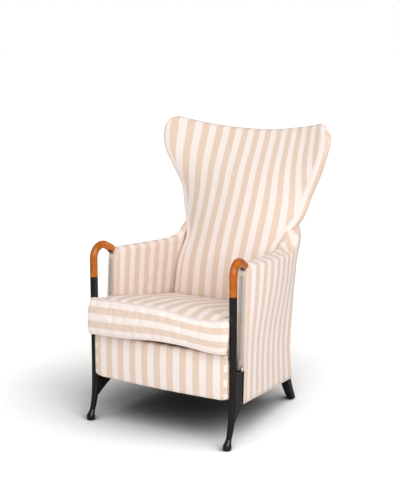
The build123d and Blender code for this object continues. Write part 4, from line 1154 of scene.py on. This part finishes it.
class CHAIR_OT_outside_back(bpy.types.Operator):
    """Cover across the rear below the padded back"""
    bl_idname = "chair.outside_back"
    bl_label = "Outside back"

    def execute(self, context):
        mesh = soft_copy("outside_back_skirt", "outside_back_panel", 0.0028, 3)
        piece = add_piece(
            "outside_back_skirt", mesh, [striped_cloth()], CHAIR, ["outside_back_panel"])
        return {"FINISHED"}


class CHAIR_OT_seat(bpy.types.Operator):
    """Deck pad under the cushion, and the dust cover below the frame"""
    bl_idname = "chair.seat"
    bl_label = "Seat deck and dust cover"

    def execute(self, context):
        mesh = soft_copy("deck_pad", "seat_deck", 0.005, 3)
        piece = add_piece("deck_pad", mesh, [striped_cloth()], CHAIR, ["seat_deck"])
        low, high = (np.array(corner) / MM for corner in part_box("dust_cover"))
        rows, columns = 48, 56
        ys = np.linspace(low[1], high[1], rows)
        points = np.zeros((rows, columns, 3))
        share = np.linspace(-1, 1, columns)
        wide = (high[0], high[0] - (high[1] - low[1]) * math.tan(ARM_YAW))
        for i, y in enumerate(ys):
            half = np.interp(y, (low[1], high[1]), wide) - 0.5
            if y > DUST_TAIL_Y:
                half = min(half, DUST_TAIL)
            points[i, :, 0] = share * half
            points[i, :, 1] = y
            sag = DUST_SAG * (1 - share ** 2) * math.sin(math.pi * i / (rows - 1))
            points[i, :, 2] = high[2] - sag
        points[..., 2] += 0.7 * folds(points, 45.0, 8.8) * (1 - share ** 2)
        piece = cloth_sheet(
            "dust_cover_cloth", points, points[..., 0], points[..., 1], dust_cloth(), 0.0006,
            ["dust_cover"])
        return {"FINISHED"}


def zip_axes(side):
    """Foot of the zip, and its across, up and out directions."""
    lean = math.atan(FRONT_SLOPE)
    out = -ARM_ALONG * math.cos(lean) + np.array((0, 0, math.sin(lean)))
    made = [ZIP_FOOT, ARM_OUT, np.cross(out, ARM_OUT), out]
    if side == "right":
        made = [mirrored(v) for v in made]
    return made


class CHAIR_OT_zips(bpy.types.Operator):
    """Zip tapes and teeth down the arm fronts, and the hem tabs"""
    bl_idname = "chair.zips"
    bl_label = "Zips"

    def execute(self, context):
        for side in ("left", "right"):
            foot, across, up, out = zip_axes(side)
            rows, columns = 120, 9
            t, w = np.linspace(0, ZIP_L, rows), np.linspace(-TAPE_W / 2, TAPE_W / 2, columns)
            points = foot + t[:, None, None] * up + w[None, :, None] * across
            ripple = 0.35 * np.sin(t / 5.1)[:, None] * (np.abs(w) / TAPE_W * 2)[None] ** 2
            ripple += 0.2 * folds(points, 14.0, 1.7) * (np.abs(w) / TAPE_W * 2)[None]
            points = points + (TAPE_LIFT + 0.5 + np.maximum(ripple, -0.4))[..., None] * out
            along, wide = np.meshgrid(t, w, indexing="ij")
            piece = cloth_sheet(
                "zip_ribbon_" + side, points, wide, along, zip_tape_cloth(), 0.0007,
                ["zip_tape_" + side])
            self.teeth(side, foot, across, up, out)
            for name, place, drop in TABS:
                self.tab(name, side, arm_world(*place), drop)
        return {"FINISHED"}

    def teeth(self, side, foot, across, up, out):
        """Two rows of teeth that mesh, with a stop at each end."""
        low = TAPE_LIFT + TAPE_T + 0.1
        points, faces = [], []

        def prism(outline, base, top, chamfer):
            start = len(points)
            n = len(outline)
            for level, inset in ((base, 0.0), (top - chamfer, 0.0), (top, chamfer)):
                for a, b in outline:
                    x = a - math.copysign(inset, a - np.mean([p[0] for p in outline]))
                    y = b - math.copysign(inset, b - np.mean([p[1] for p in outline]))
                    points.append(foot + x * across + y * up + level * out)
            for ring in (0, 1):
                for i in range(n):
                    j = (i + 1) % n
                    a, b = start + ring * n, start + (ring + 1) * n
                    faces.append((a + i, a + j, b + j, b + i))
            faces.append(tuple(range(start, start + n))[::-1])
            faces.append(tuple(range(start + 2 * n, start + 3 * n)))

        for i in range(int((ZIP_L - 2 * TOOTH_MARGIN) / TOOTH_PITCH * 2)):
            y = TOOTH_MARGIN + i * TOOTH_PITCH / 2
            flip = 1 if i % 2 else -1
            prism([(flip * a, y + b) for a, b in TOOTH], low, low + CHAIN_T, 0.25)
        for y in (STOP_MARGIN, ZIP_L - STOP_MARGIN - STOP_L):
            end = y + STOP_L
            stop = [(-STOP_HALF, y), (STOP_HALF, y), (STOP_HALF, end), (-STOP_HALF, end)]
            prism(stop, low, low + CHAIN_T + 0.5, 0.4)
        uvs = [[(0, 0)] * len(face) for face in faces]
        mesh = mesh_from("zip_teeth_" + side, np.array(points), faces, uvs)
        mesh.polygons.foreach_set("use_smooth", [False] * len(mesh.polygons))
        add_piece("zip_teeth_" + side, mesh, [zip_nickel()], CHAIR, ["zip_chain_" + side])

    def tab(self, name, side, place, drop):
        """Folded loop of pale tape that hangs from a place on the left arm's front."""
        rows, columns = 20, 9
        turn, w = np.linspace(0, 2 * math.pi, rows), np.linspace(-TAB_W / 2, TAB_W / 2, columns)
        points = place + w[None, :, None] * ARM_ALONG + 1.6 * np.sin(turn)[:, None, None] * ARM_OUT
        points[..., 2] -= drop * (1 - np.cos(turn))[:, None] / 2
        points += 0.8 * folds(points, 5.0, 3.3)[..., None] * ARM_OUT
        if side == "right":
            points = mirrored(points)
        wide, down = np.repeat(w[None], rows, axis=0), run_length(points, 0)
        piece = cloth_sheet(
            f"{name}_{side}", points, wide, down, stitched_seam(), 0.0006)


class CHAIR_OT_finishes(bpy.types.Operator):
    """Lacquer, cane, steel and hidden-frame finishes on the solid parts"""
    bl_idname = "chair.finishes"
    bl_label = "Wood and metal finishes"

    def execute(self, context):
        worn = {
            "black_lacquer": black_lacquer, "cane_wood": cane_varnish, "frame_wood": frame_beech,
            "dark_steel": dark_steel, "zip_metal": zip_nickel, "glide_nylon": glide_nylon,
            "webbing": jute_webbing, "foam": seat_foam, "striped_fabric": striped_cloth,
            "dust_cloth": dust_cloth, "zip_tape": zip_tape_cloth,
        }
        for entry in frame["record"]["subparts"]:
            mesh = frame["nodes"][entry["node"]].data
            material = worn[entry["material_slot"]]()
            if len(mesh.materials) == 0:
                mesh.materials.append(material)
            for i in range(len(mesh.materials)):
                mesh.materials[i] = material
        return {"FINISHED"}


# Stage, in metres
CAMERA_AIM = (-0.011, -0.028, 0.6145)
KEY_PLACE, FILL_PLACE, LAMP_AIM, LAMP_SIZE = (3.3, -1.9, 1.9), (1.3, -2.6, 2.5), (0, 0, 0.5), 2.0
FLOOR_HALF = 30.0
# a dark shadow below the seat and a faint one to the sitter's right: where it looks, reach, slope, lift
FLOOR_SHADOWS = (((0.45, -0.36, 0.82), 0.55, 2.1, 1.65), ((0.76, -0.38, 0.53), 0.7, 1.9, 1.08))


class CHAIR_OT_stage(bpy.types.Operator):
    """Pale floor, soft light and the camera"""
    bl_idname = "chair.stage"
    bl_label = "Stage"

    def execute(self, context):
        scene = context.scene
        stage = scene.chair_stage
        scene.view_settings.view_transform = "Standard"
        self.world(scene, stage)
        self.floor(stage)
        turn, rise = stage.azimuth, stage.elevation
        level = math.cos(rise)
        back = Vector((math.sin(turn) * level, -math.cos(turn) * level, math.sin(rise)))
        data = bpy.data.cameras.new("view")
        data.lens = stage.lens
        data.sensor_width = 36.0
        camera = bpy.data.objects.new("view", data)
        camera.rotation_mode = "QUATERNION"
        camera.location = Vector(CAMERA_AIM) + back * stage.distance
        camera.rotation_quaternion = (-back).to_track_quat("-Z", "Y")
        scene.collection.objects.link(camera)
        scene.camera = camera
        self.lamp("key", KEY_PLACE, stage.key)
        self.lamp("fill", FILL_PLACE, stage.fill)
        return {"FINISHED"}

    def world(self, scene, stage):
        world = bpy.data.worlds.new("even_light")
        scene.world = world
        world.use_nodes = True
        wiring = Wiring(world.node_tree)
        level = stage.sky
        for ray, strength in (("Is Glossy Ray", stage.room), ("Is Camera Ray", 1.0)):
            seen = wiring.node("ShaderNodeLightPath", output=ray)
            level = wiring.node("ShaderNodeMix", None, {0: seen, 2: level, 3: strength})
        background = world.node_tree.nodes["Background"]
        wiring.feed(background.inputs["Strength"], level)
        wiring.feed(background.inputs["Color"], (1, 1, 1, 1))

    def floor(self, stage):
        mesh = bpy.data.meshes.new("floor")
        corners = [(x * FLOOR_HALF, y * FLOOR_HALF, 0) for x, y in ((-1, -1), (1, -1), (1, 1), (-1, 1))]
        mesh.from_pydata(corners, [], [(0, 1, 2, 3)])
        floor = bpy.data.objects.new("floor", mesh)
        bpy.context.collection.objects.link(floor)
        f = Finish("pale_floor")
        shade = 1.0
        for slant, reach, slope, lift in FLOOR_SHADOWS:
            lean = f.node("ShaderNodeCombineXYZ", None, dict(enumerate(slant)))
            open_sky = f.node(
                "ShaderNodeAmbientOcclusion", {"samples": 12}, {"Distance": reach, "Normal": lean}, output=1)
            shade = shade * f.clamp((open_sky - 1) * slope + lift)
        seen = f.node("ShaderNodeLightPath", output=0)
        mirrored_ray = f.node("ShaderNodeLightPath", output=3)
        place = f.node("ShaderNodeNewGeometry")
        away = f.node("ShaderNodeVectorMath", {"operation": "LENGTH"}, {0: place}, output=1)
        far = f.clamp(away * 0.6 - 0.55)
        f.finish(
            Base_Color=f.mix(
                shade * (1 - 0.85 * mirrored_ray), tint(stage.floor, 0.05), tuple(stage.floor)),
            Emission_Color=f.mix(shade * seen * (0.55 + 0.45 * far), (0.0, 0.0, 0.0), (1.0, 1.0, 1.0)),
            Emission_Strength=stage.glow,
            Roughness=0.9, Specular_IOR_Level=0.1)
        mesh.materials.append(f.material)

    def lamp(self, name, place, power):
        data = bpy.data.lights.new(name, "AREA")
        data.energy, data.size = power, LAMP_SIZE
        lamp = bpy.data.objects.new(name, data)
        lamp.location = place
        lamp.rotation_mode = "QUATERNION"
        lamp.rotation_quaternion = (Vector(LAMP_AIM) - Vector(place)).to_track_quat("-Z", "Y")
        bpy.context.collection.objects.link(lamp)


STEPS = ("stage", "finishes", "back", "arms", "cushion", "apron", "outside_back", "seat", "zips")


class CHAIR_PT_dress(bpy.types.Panel):
    """Lists the chair's pieces and their settings"""
    bl_idname = "CHAIR_PT_dress"
    bl_label = "Wingback chair"
    bl_space_type = "VIEW_3D"
    bl_region_type = "UI"
    bl_category = "Chair"

    def draw(self, context):
        for settings in (context.scene.chair_cloth, context.scene.chair_wood, context.scene.chair_stage):
            box = self.layout.box()
            for name in settings.__annotations__:
                box.prop(settings, name)
        for step in STEPS:
            self.layout.operator("chair." + step)


CLASSES = (
    ClothSettings, WoodSettings, StageSettings, CHAIR_OT_back, CHAIR_OT_arms, CHAIR_OT_cushion,
    CHAIR_OT_apron, CHAIR_OT_outside_back, CHAIR_OT_seat, CHAIR_OT_zips, CHAIR_OT_finishes, CHAIR_OT_stage,
    CHAIR_PT_dress)


def register():
    for made in CLASSES:
        bpy.utils.register_class(made)
    bpy.types.Scene.chair_cloth = PointerProperty(type=ClothSettings)
    bpy.types.Scene.chair_wood = PointerProperty(type=WoodSettings)
    bpy.types.Scene.chair_stage = PointerProperty(type=StageSettings)


def unregister():
    del bpy.types.Scene.chair_stage
    del bpy.types.Scene.chair_wood
    del bpy.types.Scene.chair_cloth
    for made in reversed(CLASSES):
        bpy.utils.unregister_class(made)


def main():
    register()
    for step in STEPS:
        getattr(bpy.ops.chair, step)()


if __name__ == "__main__":
    main()
